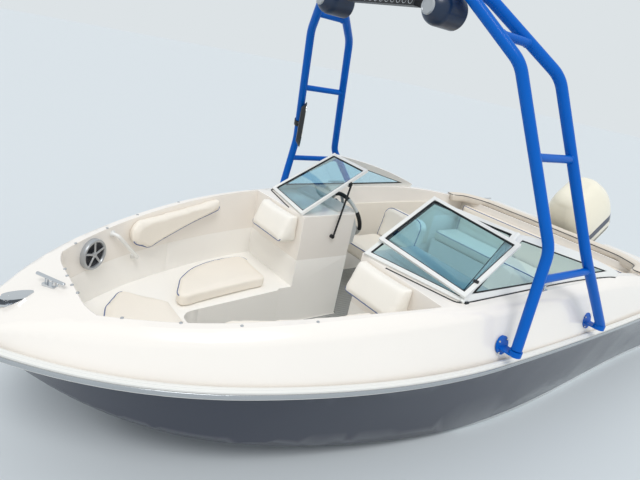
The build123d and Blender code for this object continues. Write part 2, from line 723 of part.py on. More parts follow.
def bow_speaker(seat):
    """The port speaker on the wall of the bow well: a ring, a dished cone and five spokes."""
    point, inward = well_wall(SPEAKER_X)
    base = Plane(origin=point + Vector(0, 0, SPEAKER_Z) + inward * SPEAKER_OUT, x_dir=(0, 0, 1), z_dir=inward)
    cone_r, cone_thick = SPEAKER_CONE
    body = extrude(Circle(SPEAKER_R) - Circle(SPEAKER_OPEN_R), amount=SPEAKER_RING_THICK)
    body += extrude(Circle(SPEAKER_R), amount=-SPEAKER_DEEP) + extrude(Circle(cone_r), amount=cone_thick)
    for i in range(SPEAKER_SPOKES):
        body += Rot(0, 0, 360 / SPEAKER_SPOKES * i) * Pos(*SPEAKER_SPOKE_AT) * Box(*SPEAKER_SPOKE)
    body += Cylinder(*SPEAKER_CAP, align=UPWARD)
    return (base * body - seat).solids().sort_by(SortBy.VOLUME)[-1]


def bow_handle():
    """The port grab handle, sloping down the wall of the bow well."""
    ends = [well_wall(x) for x in HANDLE_X]
    (a, na), (b, nb) = [(p + Vector(0, 0, z) + n, n) for (p, n), z in zip(ends, HANDLE_Z)]
    path = FilletPolyline(a, a + na * HANDLE_OUT, b + nb * HANDLE_OUT, b, radius=HANDLE_OUT / 2)
    grip = sweep(Plane(origin=a, z_dir=na) * Circle(HANDLE_R), path=path)
    for p, n in ((a, na), (b, nb)):
        grip += Plane(origin=p, z_dir=n) * Cylinder(
            HANDLE_R * HANDLE_FOOT_SHARE, HANDLE_FOOT_THICK, align=UPWARD)
    return grip


def deck_height(deck, x, y):
    """Height of the deck's top at a point."""
    hits = deck.find_intersection_points(Axis((x, y, CUT_HIGH), (0, 0, -1)))
    return max(point.Z for point, normal in hits)


def cleat(x, y, turn, deck, seat):
    """A two-horned cleat on the deck, turned about the vertical, its foot cut to the seat."""
    body = Pos(0, 0, -CLEAT_SINK) * Box(*CLEAT_FOOT, align=UPWARD)
    for post in CLEAT_POSTS:
        body += Pos(post, 0, CLEAT_POST_Z) * Cylinder(CLEAT_POST_R, CLEAT_POST_HIGH, align=UPWARD)
    bar = Cylinder(CLEAT_BAR_R, CLEAT_BAR_LONG)
    bar = fillet(bar.edges().filter_by(GeomType.CIRCLE), CLEAT_BAR_END_R)
    body += Pos(0, 0, CLEAT_BAR_Z) * Rot(0, 90, 0) * bar
    return Pos(x, y, deck_height(deck, x, y)) * Rot(0, 0, turn) * body - seat


def bow_eye(hull):
    """The towing eye on the stem, a bent rod whose legs end in the hull."""
    (x0, z0, *_), (x1, z1, *_) = [HULL_STATIONS[i] for i in EYE_STATIONS]
    along = Vector(x1 - x0, 0, z1 - z0).normalized()
    out = Vector(along.Z, 0, -along.X)
    base = Vector(x0 + (x1 - x0) * EYE_SHARE, 0, z0 + (z1 - z0) * EYE_SHARE)
    low, high = base - along * EYE_HALF, base + along * EYE_HALF
    legs = [low - out * EYE_SINK, low + out * EYE_OUT, high + out * EYE_OUT, high - out * EYE_SINK]
    path = FilletPolyline(*legs, radius=EYE_BEND_R)
    rod = sweep(Plane(origin=legs[0], z_dir=out) * Circle(EYE_ROD_R), path=path)
    return (rod - hull).solids().sort_by(SortBy.VOLUME)[-1]


def screen_plane(a, b, c):
    """A plane through three corners, its normal on the outer side."""
    a, b, c = Vector(*a), Vector(*b), Vector(*c)
    normal = (b - a).cross(c - a).normalized()
    return Plane(origin=a, x_dir=(b - a), z_dir=normal)


def plane_corner(plane, x, y):
    """The point of a plane at given x and y."""
    n, o = plane.z_dir, plane.origin
    return Vector(x, y, o.Z - (n.X * (x - o.X) + n.Y * (y - o.Y)) / n.Z)


def pane(plane, outline, glass_inset):
    """A framed pane in a plane: its frame and its glass, from an outline in that plane."""
    inner = offset(outline, -FRAME_FACE, kind=Kind.INTERSECTION)
    glass_face = offset(outline, -glass_inset, kind=Kind.INTERSECTION)
    frame = extrude(plane * (outline - inner), amount=FRAME_THICK / 2, both=True)
    glass = extrude(plane * glass_face, amount=GLASS_THICK / 2, both=True)
    return frame - glass, glass


def local(plane, point):
    """A point in the flat coordinates of a plane."""
    p = plane.to_local_coords(Vector(*point))
    return (p.X, p.Y)


def fixed_screen(deck):
    """The port fixed panes: front and side frames with a corner post, and their glass."""
    front_plane = screen_plane(SCREEN_BASE_IN, SCREEN_BASE_OUT, SCREEN_TOP_IN)
    top_out = plane_corner(front_plane, SCREEN_TOP_OUT_X, SCREEN_TOP_OUT_Y)
    down = (Vector(*SCREEN_BASE_OUT) - top_out).normalized() * SCREEN_FOOT
    base_in = Vector(*SCREEN_BASE_IN) + down
    base_out = Vector(*SCREEN_BASE_OUT) + down
    front = make_face(Polyline(*[local(front_plane, p) for p in (base_in, base_out, top_out, SCREEN_TOP_IN)],
                               close=True))
    frame, glass = pane(front_plane, front, FRAME_FACE - GLASS_BITE)
    side_plane = screen_plane(SCREEN_BASE_OUT, SCREEN_AFT_TIP, top_out)
    a, t, o = [local(side_plane, p) for p in (SCREEN_BASE_OUT, SCREEN_AFT_TIP, top_out)]
    mid = Vector((t[0] + o[0]) / 2, (t[1] + o[1]) / 2)
    across = Vector(t[1] - o[1], o[0] - t[0]).normalized() * SCREEN_SIDE_BULGE
    if (mid + across - Vector(*a)).length < (mid - across - Vector(*a)).length:
        across = across * -1
    bulge = mid + across
    drop = -SCREEN_FOOT if o[1] > a[1] else SCREEN_FOOT
    side = make_face([
        Line((a[0], a[1] + drop), (t[0], t[1] + drop)).edge(), Line((t[0], t[1] + drop), t).edge(),
        ThreePointArc(t, (bulge.X, bulge.Y), o).edge(), Line(o, a).edge(),
        Line(a, (a[0], a[1] + drop)).edge(),
    ])
    rise = math.copysign(1.0, -drop)
    fore = (a[0] + SIDE_PANE_FORE, a[1] + rise * SIDE_PANE_FOOT)
    aft = (t[0] - SIDE_PANE_AFT, a[1] + rise * SIDE_PANE_FOOT)
    head = (o[0] + SIDE_PANE_HEAD[0], o[1] - rise * SIDE_PANE_HEAD[1])
    inner = make_face([Line(fore, aft).edge(), Line(aft, head).edge(), Line(head, fore).edge()])
    side_frame = extrude(side_plane * (side - inner), amount=FRAME_THICK / 2, both=True)
    side_glass = extrude(side_plane * offset(inner, GLASS_BITE, kind=Kind.INTERSECTION),
                         amount=GLASS_THICK / 2, both=True)
    side_frame -= side_glass
    post_line = Line(base_out, top_out)
    post = sweep(Plane(origin=base_out, z_dir=top_out - base_out) * Circle(CORNER_POST_R), path=post_line)
    frame = (frame + side_frame + post) - deck
    return frame, [glass - post - side_frame, side_glass - post]


def window_hinge():
    """Hinge of the centre window: a point, the direction of its line and the angle it is folded by."""
    foot, head = Vector(*SCREEN_BASE_IN), Vector(*SCREEN_TOP_IN)
    along = (head - foot).normalized()
    front_plane = screen_plane(SCREEN_BASE_IN, SCREEN_BASE_OUT, SCREEN_TOP_IN)
    closed = (Vector(0, -1, 0) - along * along.dot(Vector(0, -1, 0))).normalized()
    out = Vector(*SCREEN_BASE_OUT) - foot
    opened = (out - along * along.dot(out)).normalized()
    closed_normal = along.cross(closed)
    closed_normal = closed_normal * (1 if closed_normal.Z > 0 else -1)
    open_normal = front_plane.z_dir * (1 if front_plane.z_dir.Z > 0 else -1)
    turn = math.degrees(math.atan2(along.dot(closed.cross(opened)), closed.dot(opened)))
    middle = closed * math.cos(math.radians(turn / 2)) + along.cross(closed) * math.sin(math.radians(turn / 2))
    if middle.dot(closed_normal) < 0:
        turn -= math.copysign(360.0, turn)
    bisector = (closed_normal + open_normal).normalized()
    return foot + bisector * HINGE_OFFSET, along, turn


def hinge_knuckles():
    """The centre window's hinges with the window shut: the part on the port frame and the part it carries."""
    point, along, turn = window_hinge()
    across = (Vector(0, -1, 0) - along * along.dot(Vector(0, -1, 0))).normalized()
    up = along.cross(across)
    up = up * (1 if up.Z > 0 else -1)
    span = (Vector(*SCREEN_TOP_IN) - Vector(*SCREEN_BASE_IN)).length
    fixed, moving = [], []
    for share in HINGE_SHARES:
        at = point + along * span * share
        rod = Plane(origin=at, x_dir=across, z_dir=along)
        leaf = Plane(origin=at, x_dir=across, z_dir=up)
        fixed.append(rod * Cylinder(HINGE_R, KNUCKLE_LONG))
        across_at, wide = FIXED_LEAF
        fixed.append(leaf * Pos(across_at, 0, -wide / 2) * Box(wide, KNUCKLE_LONG, wide))
        reach = KNUCKLE_LONG / 2 + SEAT_GAP
        length = LEAF_LONG / 2 - reach
        across_at, wide = MOVING_LEAF
        for middle in (-reach - length / 2, reach + length / 2):
            moving.append(rod * Pos(0, 0, middle) * Cylinder(HINGE_R, length))
            moving.append(leaf * Pos(across_at, middle, -LEAF_DROP) * Box(wide, length, LEAF_THICK))
        across_at, wide = MOVING_BRIDGE
        moving.append(leaf * Pos(across_at, 0, -LEAF_DROP) * Box(wide, LEAF_LONG, LEAF_THICK))
    return fixed, moving


def centre_window():
    """The centre window, folded back on the port pane: its frame and its glass."""
    foot, head = Vector(*SCREEN_BASE_IN), Vector(*SCREEN_TOP_IN)
    share = WINDOW_FOOT / (head - foot).length
    low = foot + (head - foot) * share
    high = head - (head - foot).normalized() * WINDOW_HEAD_GAP
    corners = [(low.X, low.Y - WINDOW_GAP, low.Z), (high.X, high.Y - WINDOW_GAP, high.Z),
               (high.X, -high.Y + WINDOW_GAP, high.Z), (low.X, -low.Y + WINDOW_GAP, low.Z)]
    plane = screen_plane(corners[0], corners[1], corners[3])
    outline = make_face(Polyline(*[local(plane, p) for p in corners], close=True))
    frame, glass = pane(plane, outline, FRAME_FACE - GLASS_BITE)
    for piece in hinge_knuckles()[1]:
        frame += piece
    point, along, turn = window_hinge()
    axis = Axis(point, along)
    return frame.rotate(axis, turn), glass.rotate(axis, turn)


def stay(frame):
    """The black stay from the back of the starboard screen to the side of the console."""
    foot, head = Vector(*SCREEN_BASE_IN), Vector(*SCREEN_TOP_IN)
    rake = (foot - head).normalized()
    normal = Vector(-rake.Z, 0, rake.X).normalized()
    on_post = head + (foot - head) * STAY_TOP_SHARE
    top = Vector(on_post.X, STAY_TOP_Y, on_post.Z) - normal * STAY_DROP
    low = Vector(*STAY_FOOT)
    body = sweep(Plane(origin=low, z_dir=top - low) * Circle(STAY_R), path=Line(low, top))
    wall = Plane(origin=(low.X, -WALKWAY_HALF + SEAT_GAP, low.Z), z_dir=(0, 1, 0))
    body += wall * Cylinder(STAY_R * 2, STAY_FOOT[1] + WALKWAY_HALF, align=UPWARD)
    long, wide = STAY_LUG
    edge = -SCREEN_TOP_IN[1]
    lug = Plane(origin=(on_post.X, edge, on_post.Z), x_dir=rake, z_dir=normal)
    body += lug * Pos(0, -wide / 2, -STAY_DROP / 2 - STAY_R / 2) * Box(long, wide, STAY_DROP + STAY_R)
    return (body - frame).solids().sort_by(SortBy.VOLUME)[-1]


def foot_point(x):
    """The base of a tower foot on the port side of the deck, and the outward normal there."""
    return Vector(x, deck_side(x, FOOT_Z), FOOT_Z), side_normal(x)


def tower_foot(x):
    """A port tower foot: a round pad, a level arm and the boss that holds the tube."""
    base, out = foot_point(x)
    plane = Plane(origin=base + out * SEAT_GAP, x_dir=(1, 0, 0), z_dir=out)
    foot = plane * Cylinder(FOOT_DISC_R, FOOT_DISC_THICK, align=UPWARD)
    end = base + out * KNUCKLE_OUT
    low = end.Z - KNUCKLE_R
    gusset = extrude(Plane.XY * Pos(x, 0) * make_face(Polyline(
        (-GUSSET_HALF, base.Y), (GUSSET_HALF, base.Y), (KNUCKLE_R, end.Y), (-KNUCKLE_R, end.Y),
        close=True)), amount=GUSSET_THICK)
    foot += Pos(0, 0, low) * gusset
    foot += Pos(x, end.Y, low) * Cylinder(KNUCKLE_R, KNUCKLE_HIGH, align=UPWARD)
    return foot


def hoop_path(x, points):
    """Corners of a hoop from its port foot to its starboard foot."""
    base, out = foot_point(x)
    port = [base + out * KNUCKLE_OUT] + [Vector(*p) for p in points]
    return port + [Vector(p.X, -p.Y, p.Z) for p in reversed(port)]


def hoop(x, points):
    """A tower tube bent from one foot over the boat to the other."""
    corners = hoop_path(x, points)
    radii = HOOP_RADII + HOOP_RADII[::-1]
    path = FilletPolyline(*corners, radius=radii)
    section_plane = Plane(origin=corners[0], z_dir=corners[1] - corners[0])
    return sweep(section_plane * Circle(TUBE_D / 2), path=path)


def on_hoop(x, points, z):
    """The point of a hoop's port centreline at a height."""
    corners = hoop_path(x, points)
    for a, b in zip(corners, corners[1:]):
        if a.Z <= z <= b.Z:
            return a + (b - a) * ((z - a.Z) / (b.Z - a.Z))
    return corners[len(corners) // 2 - 1]


def rungs(front, rear):
    """The port cross tubes between the two hoops."""
    cross = []
    for z in (LOWER_RUNG_Z, UPPER_RUNG_Z, TOP_RUNG_Z):
        a = on_hoop(FRONT_FOOT_X, FRONT_HOOP, z)
        b = on_hoop(REAR_FOOT_X, REAR_HOOP, z)
        tube = sweep(Plane(origin=a, z_dir=b - a) * Circle(RUNG_D / 2), path=Line(a, b))
        cross += (tube - front - rear).solids()
    return Compound(children=cross)


def light_bar(front):
    """The lamp bar under the front hoop: a housing with cooling fins and two brackets."""
    deep, high = LIGHT_BAR_SIZE
    x, z = FRONT_HOOP[-1][0], FRONT_HOOP[-1][2]
    low = z - TUBE_D / 2 - LIGHT_BAR_DROP - high
    body = block(x - deep / 2, x + deep / 2, -LIGHT_BAR_LENGTH / 2, LIGHT_BAR_LENGTH / 2, low, low + high)
    slot_deep, slot_wide = LAMP_FIN_SLOT
    back = x - deep / 2
    for i in range(LAMP_FINS):
        y = -LIGHT_BAR_LENGTH / 2 + LAMP_END + i * (LIGHT_BAR_LENGTH - 2 * LAMP_END) / (LAMP_FINS - 1)
        body -= block(back - LAP, back + slot_deep, y - slot_wide / 2, y + slot_wide / 2, low + LAMP_FIN_FLOOR,
                      low + high + LAP)
    along, wide = LAMP_BRACKET
    for y in (-LAMP_BRACKET_Y, LAMP_BRACKET_Y):
        body += block(x - along / 2, x + along / 2, y - wide / 2, y + wide / 2, low + high - LAP, z)
    return body - front


def speaker_pod(side):
    """A bullet speaker pod hung from the front hoop, its grille facing aft."""
    x, z = FRONT_HOOP[-1][0], FRONT_HOOP[-1][2]
    r = POD_D / 2
    centre = Vector(x, side * POD_Y, z - TUBE_D / 2 - POD_DROP - r)
    heel, rim = (0, -POD_LENGTH / 2), (r, -POD_LENGTH / 2)
    barrel = (r, POD_BARREL_X)
    nose = [(r * across, POD_LENGTH * along) for across, along in (POD_NOSE_HALFWAY, POD_NOSE_TIP)]
    tip = (0, nose[-1][1])
    profile = make_face([
        Line(heel, rim).edge(), Line(rim, barrel).edge(), ThreePointArc(barrel, *nose).edge(),
        Line(nose[-1], tip).edge(), Line(tip, heel).edge(),
    ])
    shell = revolve(Plane.XZ * profile, axis=Axis.Z)
    shell = Rot(0, 90, 0) * shell
    strap = Pos(0, 0, r - POD_STRAP_SINK) * Box(*POD_STRAP, align=UPWARD)
    outer, inner = [r * share for share in POD_RING_SHARES]
    face = Pos(-POD_LENGTH / 2 - POD_RING_GAP, 0, 0) * Rot(0, -90, 0)
    ring = face * extrude(Circle(outer) - Circle(inner), POD_RING_THICK)
    return Pos(*centre) * (shell + strap), Pos(*centre) * ring


def tow_mirror(front):
    """The mirror on the starboard front tube: a clamp, an arm and an oval shell, and its glass."""
    hold = on_hoop(FRONT_FOOT_X, FRONT_HOOP, MIRROR_CENTRE[2])
    hold = Vector(hold.X, -hold.Y, hold.Z)
    along = Vector(*FRONT_HOOP[1]) - Vector(*FRONT_HOOP[0])
    tube = Plane(origin=hold, z_dir=(along.X, -along.Y, along.Z))
    facing = Vector(*MIRROR_FACING).normalized()
    centre = Vector(*MIRROR_CENTRE)
    across, up = MIRROR_HALF
    face = Plane(origin=centre, x_dir=(0, 0, 1), z_dir=facing)
    high_share, wide_share = MIRROR_BACK_SHARES
    behind = face * Pos(0, 0, -MIRROR_DEEP) * Ellipse(up * high_share, across * wide_share)
    shell = loft([behind, face * Ellipse(up, across)])
    pane = Ellipse(up - MIRROR_RIM, across - MIRROR_RIM)
    glass = face * Pos(0, 0, MIRROR_GLASS_GAP) * extrude(pane, amount=MIRROR_GLASS_THICK)
    back = centre - facing * (MIRROR_DEEP - MIRROR_ARM_SINK)
    arm = sweep(Plane(origin=hold, z_dir=back - hold) * Circle(MIRROR_ARM_R), path=Line(hold, back))
    thick, length = MIRROR_CLAMP
    clamp = tube * Cylinder(TUBE_D / 2 + thick, length)
    return (shell + arm + clamp - front).solids().sort_by(SortBy.VOLUME)[-1], glass


def side_panel():
    """The port trim panel on the inner side of the cockpit."""
    wall = COCKPIT_EDGE_INSET + PANEL_GAP
    plan = sheer_face(wall) - sheer_face(wall + PANEL_THICK)
    side = block(BENCH_FRONT_X - PANEL_AFT, PANEL_FRONT_X, 0, CUT_WIDE, 0, CUT_HIGH)
    return slab(plan, SOLE_Z + PANEL_LOW, PANEL_TOP_Z) & side


def seat(side):
    """A cockpit seat: pedestal, cushion and back."""
    at = Pos(SEAT_X, side * SEAT_Y, 0)
    low = SEAT_TOP_Z - SEAT_CUSHION_THICK
    mat = SOLE_Z + MAT_THICK + SEAT_GAP
    plate_wide, plate_thick = PEDESTAL_PLATE
    pedestal = Pos(0, 0, mat) * Cylinder(*PEDESTAL_FOOT, align=UPWARD)
    pedestal += Pos(0, 0, mat) * Cylinder(PEDESTAL_R, low - mat, align=UPWARD)
    pedestal += Pos(0, 0, low - plate_thick) * Box(plate_wide, plate_wide, plate_thick, align=UPWARD)
    pad = RectangleRounded(SEAT_DEEP, SEAT_WIDE, SEAT_CORNER_R)
    cushion = extrude(Pos(0, 0, low) * pad, amount=SEAT_CUSHION_THICK)
    heel = (-SEAT_DEEP / 2 + SEAT_BACK_SET, 0, low + SEAT_BACK_LIFT)
    outline = Pos(0, SEAT_BACK_HIGH / 2) * RectangleRounded(SEAT_WIDE, SEAT_BACK_HIGH, SEAT_BACK_CORNER_R)
    back = extrude(Plane(origin=heel, x_dir=(0, -1, 0), z_dir=(-1, 0, 0)) * outline, amount=SEAT_BACK_THICK)
    back = back.rotate(Axis(heel, (0, 1, 0)), -SEAT_BACK_RAKE)
    back -= cushion
    return at * pedestal, at * cushion, at * back


def bench():
    """The after bench: a base moulding, a seat cushion and a back cushion."""
    low = BENCH_TOP_Z - BENCH_CUSHION_THICK
    back_x = COCKPIT_AFT_X + BENCH_BACK_THICK
    aft = COCKPIT_AFT_X + SEAT_GAP
    mat = SOLE_Z + MAT_THICK + SEAT_GAP
    base = block(aft, BENCH_FRONT_X - BENCH_TOE_SPACE, -BENCH_HALF, BENCH_HALF, mat, low)
    start = back_x + BENCH_PAD_GAP
    seat_plan = RectangleRounded(BENCH_FRONT_X - start, 2 * BENCH_HALF, BENCH_CORNER_R)
    cushion = extrude(Pos((start + BENCH_FRONT_X) / 2, 0, low) * seat_plan, amount=BENCH_CUSHION_THICK)
    back = block(aft, back_x, -BENCH_HALF, BENCH_HALF, low, BENCH_BACK_TOP_Z)
    return base, cushion, back


def bolster(deck, seat):
    """The padded roll along the after edge of the cockpit, its foot cut to the deck."""
    top = deck_height(deck, BOLSTER_PATH[-1][0], 0) + BOLSTER_HIGH
    starboard = [(x, -y) for x, y in reversed(BOLSTER_PATH[:-1])]
    path = FilletPolyline(*BOLSTER_PATH, *starboard, radius=BOLSTER_TURN)
    roll = slab(trace(path, line_width=BOLSTER_WIDE), top - BOLSTER_HIGH - BOLSTER_LIP, top)
    roll = fillet(roll.edges().group_by(Axis.Z)[-1], BOLSTER_HIGH * BOLSTER_ROUND)
    return (roll - seat).solids().sort_by(SortBy.VOLUME)[-1]


def dash():
    """The helm pod on the starboard console."""
    back = DASH_X - SEAT_GAP
    outline = Polyline(*HELM_DASH_OUTLINE, (back, DASH_FOOT_Z), (back, HELM_DASH_OUTLINE[0][1]), close=True)
    profile = Plane(origin=(0, HELM_DASH_Y, 0), x_dir=(1, 0, 0), z_dir=(0, -1, 0)) * make_face(outline)
    return extrude(profile, amount=-HELM_DASH_WIDE)


def port_dash():
    """The glovebox moulding on the port console."""
    back = DASH_X - SEAT_GAP
    outline = Polyline((back, PORT_DASH_TOP_Z), *PORT_DASH_OUTLINE, (back, DASH_FOOT_Z), close=True)
    profile = Plane(origin=(0, PORT_DASH_Y, 0), x_dir=(1, 0, 0), z_dir=(0, -1, 0)) * make_face(outline)
    return extrude(profile, amount=-PORT_DASH_WIDE)


def wheel_plane():
    """The plane of the steering wheel's rim, its normal towards the helmsman."""
    tilt = math.radians(WHEEL_TILT)
    return Plane(origin=WHEEL_CENTRE, x_dir=(0, -1, 0), z_dir=(-math.cos(tilt), 0, math.sin(tilt)))


def steering_wheel():
    """The wheel: a round rim, three spokes and a hub."""
    rim = Torus(WHEEL_R, WHEEL_GRIP_R)
    body = rim + Pos(0, 0, -WHEEL_HUB_SET) * Cylinder(*WHEEL_HUB)
    for angle in WHEEL_SPOKE_ANGLES:
        body += Rot(0, 0, angle) * Pos(WHEEL_R / 2, 0, -WHEEL_SPOKE_SET) * Box(WHEEL_R, *WHEEL_SPOKE)
    return wheel_plane() * body


def steering_column(pod):
    """The boss between the helm pod and the wheel."""
    axis = wheel_plane()
    boss = axis * Pos(0, 0, -WHEEL_HUB_SET - WHEEL_HUB[1] / 2 - SEAT_GAP) * Cylinder(
        COLUMN_R, COLUMN_LENGTH, align=(Align.CENTER, Align.CENTER, Align.MAX))
    return boss - pod


def motor_place(shape):
    """A motor shape moved from its own upright frame to the boat, tilted up as it hangs."""
    return Pos(TILT_AXIS_X, 0, TILT_AXIS_Z) * Rot(0, MOTOR_TILT, 0) * shape


def plate_xz(points, half):
    """A plate across the centreline from an outline in x and z."""
    return extrude(Plane.XZ * make_face(Polyline(*points, close=True)), amount=half, both=True)


def clamp_bracket():
    """The two clamp cheeks on the transom with the tilt tube through them."""
    low = -TILT_AXIS_Z + CLAMP_LOW
    face = TRANSOM_X - TILT_AXIS_X
    top = TRANSOM_CUT_Z - TILT_AXIS_Z
    front = TRANSOM_THICK + face
    thick, over, grip = CLAMP_HOOK
    ahead, behind = front + SEAT_GAP, face - SEAT_GAP
    outline = [*CLAMP_HEAD, (front + thick, top + over), (front + thick, top - grip), (ahead, top - grip),
               (ahead, top + SEAT_GAP), (behind, top + SEAT_GAP), (behind, low), (face - CLAMP_AFT, low), CLAMP_HEEL]
    cheek = extrude(Plane.XZ * make_face(Polyline(*outline, close=True)), amount=CLAMP_THICK)
    port = Pos(0, CLAMP_INNER_Y + CLAMP_THICK, 0) * cheek
    body = port + mirror(port, about=Plane.XZ)
    body += Rot(90, 0, 0) * Cylinder(TILT_PIN_R, 2 * (CLAMP_INNER_Y + CLAMP_THICK) + TILT_PIN_END)
    return Pos(TILT_AXIS_X, 0, TILT_AXIS_Z) * body


def swivel_bracket():
    """The swivel bracket, which tilts about the tube and carries the steering pin."""
    past, shoulder_z = SWIVEL_SET
    outline = [*SWIVEL_NOSE, (SWIVEL_NECK_X, SWIVEL_LOW_Z), (STEER_AXIS_X - past, SWIVEL_LOW_Z),
               (STEER_AXIS_X - past, shoulder_z), SWIVEL_SHOULDER]
    body = plate_xz(outline, SWIVEL_PLATE_HALF)
    body += Rot(90, 0, 0) * Cylinder(SWIVEL_TUBE_R, 2 * SWIVEL_HALF)
    middle_z = (SWIVEL_LOW_Z + SWIVEL_TOP_Z) / 2
    body += Pos(STEER_AXIS_X, 0, middle_z) * Cylinder(SWIVEL_BARREL_R, SWIVEL_TOP_Z - SWIVEL_LOW_Z)
    body -= Rot(90, 0, 0) * Cylinder(TILT_PIN_R + PIN_CLEARANCE, CUT_WIDE)
    body -= Pos(STEER_AXIS_X, 0, middle_z) * Cylinder(STEER_PIN_R + PIN_CLEARANCE, CUT_WIDE)
    return motor_place(body)


def section(z, x, long, wide, radius, shrink=0.0):
    """A rounded section of the motor at a height, shrunk by a wall."""
    return Pos(x, 0, z) * RectangleRounded(long - 2 * shrink, wide - 2 * shrink, radius - shrink)


def midsection():
    """The motor's leg: steering arms over and under the swivel, the exhaust housing and the plate."""
    waist = section(*LEG_WAIST)
    leg = loft([section(*LEG_FOOT), waist]) + loft([waist, section(*LEG_HEAD)])
    for z, past, wide, thick in (UPPER_ARM, LOWER_ARM):
        leg += Pos((STEER_AXIS_X + LEG_AXIS_X) / 2, 0, z) * Box(STEER_AXIS_X - LEG_AXIS_X + past, wide, thick)
    pin_high = UPPER_ARM[0] - LOWER_ARM[0]
    leg += Pos(STEER_AXIS_X, 0, LOWER_ARM[0] + pin_high / 2) * Cylinder(STEER_PIN_R, pin_high)
    plate = Pos(PLATE_X, 0, PLATE_Z + PLATE_LIFT) * RectangleRounded(*PLATE_SIZE)
    leg += extrude(plate, amount=PLATE_THICK)
    return motor_place(leg)


def gearcase():
    """The lower unit: a strut, a torpedo and a skeg."""
    strut = loft([section(*STRUT_FOOT), section(*STRUT_HEAD)])
    tail = PROP_X + PROP_HUB_LONG / 2 + 2 * SEAT_GAP
    tip, end = (TORPEDO_NOSE_X, 0), (tail, 0)
    bow = (TORPEDO_NOSE_X - TORPEDO_NOSE[0], GEARCASE_R * TORPEDO_NOSE_SHARE)
    fore = (TORPEDO_NOSE_X - TORPEDO_NOSE[1], GEARCASE_R)
    aft, hub = (tail + TORPEDO_TAIL, GEARCASE_R), (tail, PROP_HUB_R)
    profile = make_face([
        ThreePointArc(tip, bow, fore).edge(), Line(fore, aft).edge(), Line(aft, hub).edge(), Line(hub, end).edge(),
        Line(end, tip).edge(),
    ])
    torpedo = Pos(0, 0, GEARCASE_Z) * revolve(Plane.XZ * profile, axis=Axis.X)
    skeg = Pos(0, 0, GEARCASE_Z) * plate_xz(SKEG_OUTLINE, SKEG_HALF)
    return motor_place(strut + torpedo + skeg)


def propeller():
    """The propeller: a hub with three raked, twisted blades."""
    hub = Pos(PROP_X, 0, GEARCASE_Z) * Rot(0, 90, 0) * Cylinder(PROP_HUB_R, PROP_HUB_LONG)
    body = hub
    for i in range(PROP_BLADES):
        faces = []
        for reach, chord, thick, pitch in BLADE_SECTIONS:
            outline = Rot(0, 0, 90 - pitch) * RectangleRounded(chord, thick, thick * BLADE_ROUND)
            faces.append(Pos(0, 0, reach) * outline)
        blade = loft(faces)
        body += Pos(PROP_X, 0, GEARCASE_Z) * Rot(360 / PROP_BLADES * i, 0, 0) * blade
    return motor_place(body)


def cowl():
    """The motor cover: a hollow moulding with a rounded crown."""
    outer = loft([section(*row) for row in COWL_SECTIONS]) + loft([section(*row) for row in COWL_CROWN])
    room = loft([section(*row, shrink=COWL_WALL) for row in COWL_SECTIONS])
    return motor_place(outer - room)


def motor_pan():
    """The lower cover under the cowl, open above for the engine."""
    shell = loft([section(*row) for row in PAN_SECTIONS])
    x, long, wide, radius = PAN_ROOM
    room = Pos(x, 0, PAN_FLOOR_Z) * extrude(RectangleRounded(long, wide, radius), amount=PAN_ROOM_HIGH)
    return motor_place(shell - room)


def powerhead():
    """The engine inside the cover, as one plain block."""
    low = PAN_FLOOR_Z + SEAT_GAP
    return motor_place(block(*ENGINE_X, -ENGINE_HALF, ENGINE_HALF, low, ENGINE_TOP_Z))


rail, rail_insert = rub_rail()
hull = make_hull()
deck = make_deck()
add("hull", hull)
add("deck", deck)
liner = cockpit_space(TUB_WALL, SHEER_Z) - cockpit_space(0.0, SHEER_Z + LAP)
ahead_of_joint = block(LINER_JOINT_X, STEM_X, -CUT_WIDE, CUT_WIDE, 0, CUT_HIGH)
add("cockpit_tub", liner - ahead_of_joint)
add("bow_liner", liner & ahead_of_joint)
mat = cockpit_plan(-MAT_GAP) + walkway_plan(-MAT_GAP) + footwell_plan(-MAT_GAP)
add("sole_mat", slab(mat, SOLE_Z, SOLE_Z + MAT_THICK))
add("rub_rail", rail)
add("rub_rail_insert", rail_insert)
side_seat, front_seat = bow_cushions()
add("bow_seat_cushions", both_sides(side_seat))
add("bow_front_cushion", front_seat)
add("bow_side_backrests", both_sides(side_backrest()))
add("bow_aft_backrests", both_sides(aft_backrest()))
seat_deck = Pos(0, 0, SEAT_GAP) * deck
add("bow_speakers", both_sides(bow_speaker(deck)))
add("bow_handles", both_sides(bow_handle()))
add("cleats", Compound(children=[s for row in CLEATS for s in cleat(*row, deck, seat_deck).solids()]))
add("bow_eye", bow_eye(hull))
light_z = deck_top(BOW_LIGHT_X)
light_foot = Pos(BOW_LIGHT_X, 0, light_z - BOW_LIGHT_SINK) * Ellipse(*BOW_LIGHT_FOOT)
light_head = Pos(BOW_LIGHT_X, 0, light_z + BOW_LIGHT_HIGH) * Ellipse(*BOW_LIGHT_HEAD)
add("bow_light", loft([light_foot, light_head]) - seat_deck)
screen_frame, screen_glass = fixed_screen(deck)
both_frames = both_sides(screen_frame)
hinged_frame = both_frames
for piece in hinge_knuckles()[0]:
    hinged_frame = hinged_frame + piece
add("screen_frames", hinged_frame)
add("screen_glass", Compound(children=[s for g in screen_glass for s in both_sides(g).solids()]))
window_frame, window_glass = centre_window()
add("window_frame", window_frame)
add("window_glass", window_glass)
add("screen_stay", stay(both_frames))
pod = dash() - deck
add("helm_dash", pod)
add("port_dash", port_dash() - deck)
add("steering_column", steering_column(pod))
add("steering_wheel", steering_wheel())
seats = [seat(side) for side in (-1, 1)]
add("seat_pedestals", Compound(children=[s for p in seats for s in p[0].solids()]))
add("seat_cushions", Compound(children=[s for p in seats for s in p[1].solids()]))
add("seat_backs", Compound(children=[s for p in seats for s in p[2].solids()]))
bench_base, bench_cushion, bench_back = bench()
add("bench_base", bench_base)
add("bench_cushion", bench_cushion)
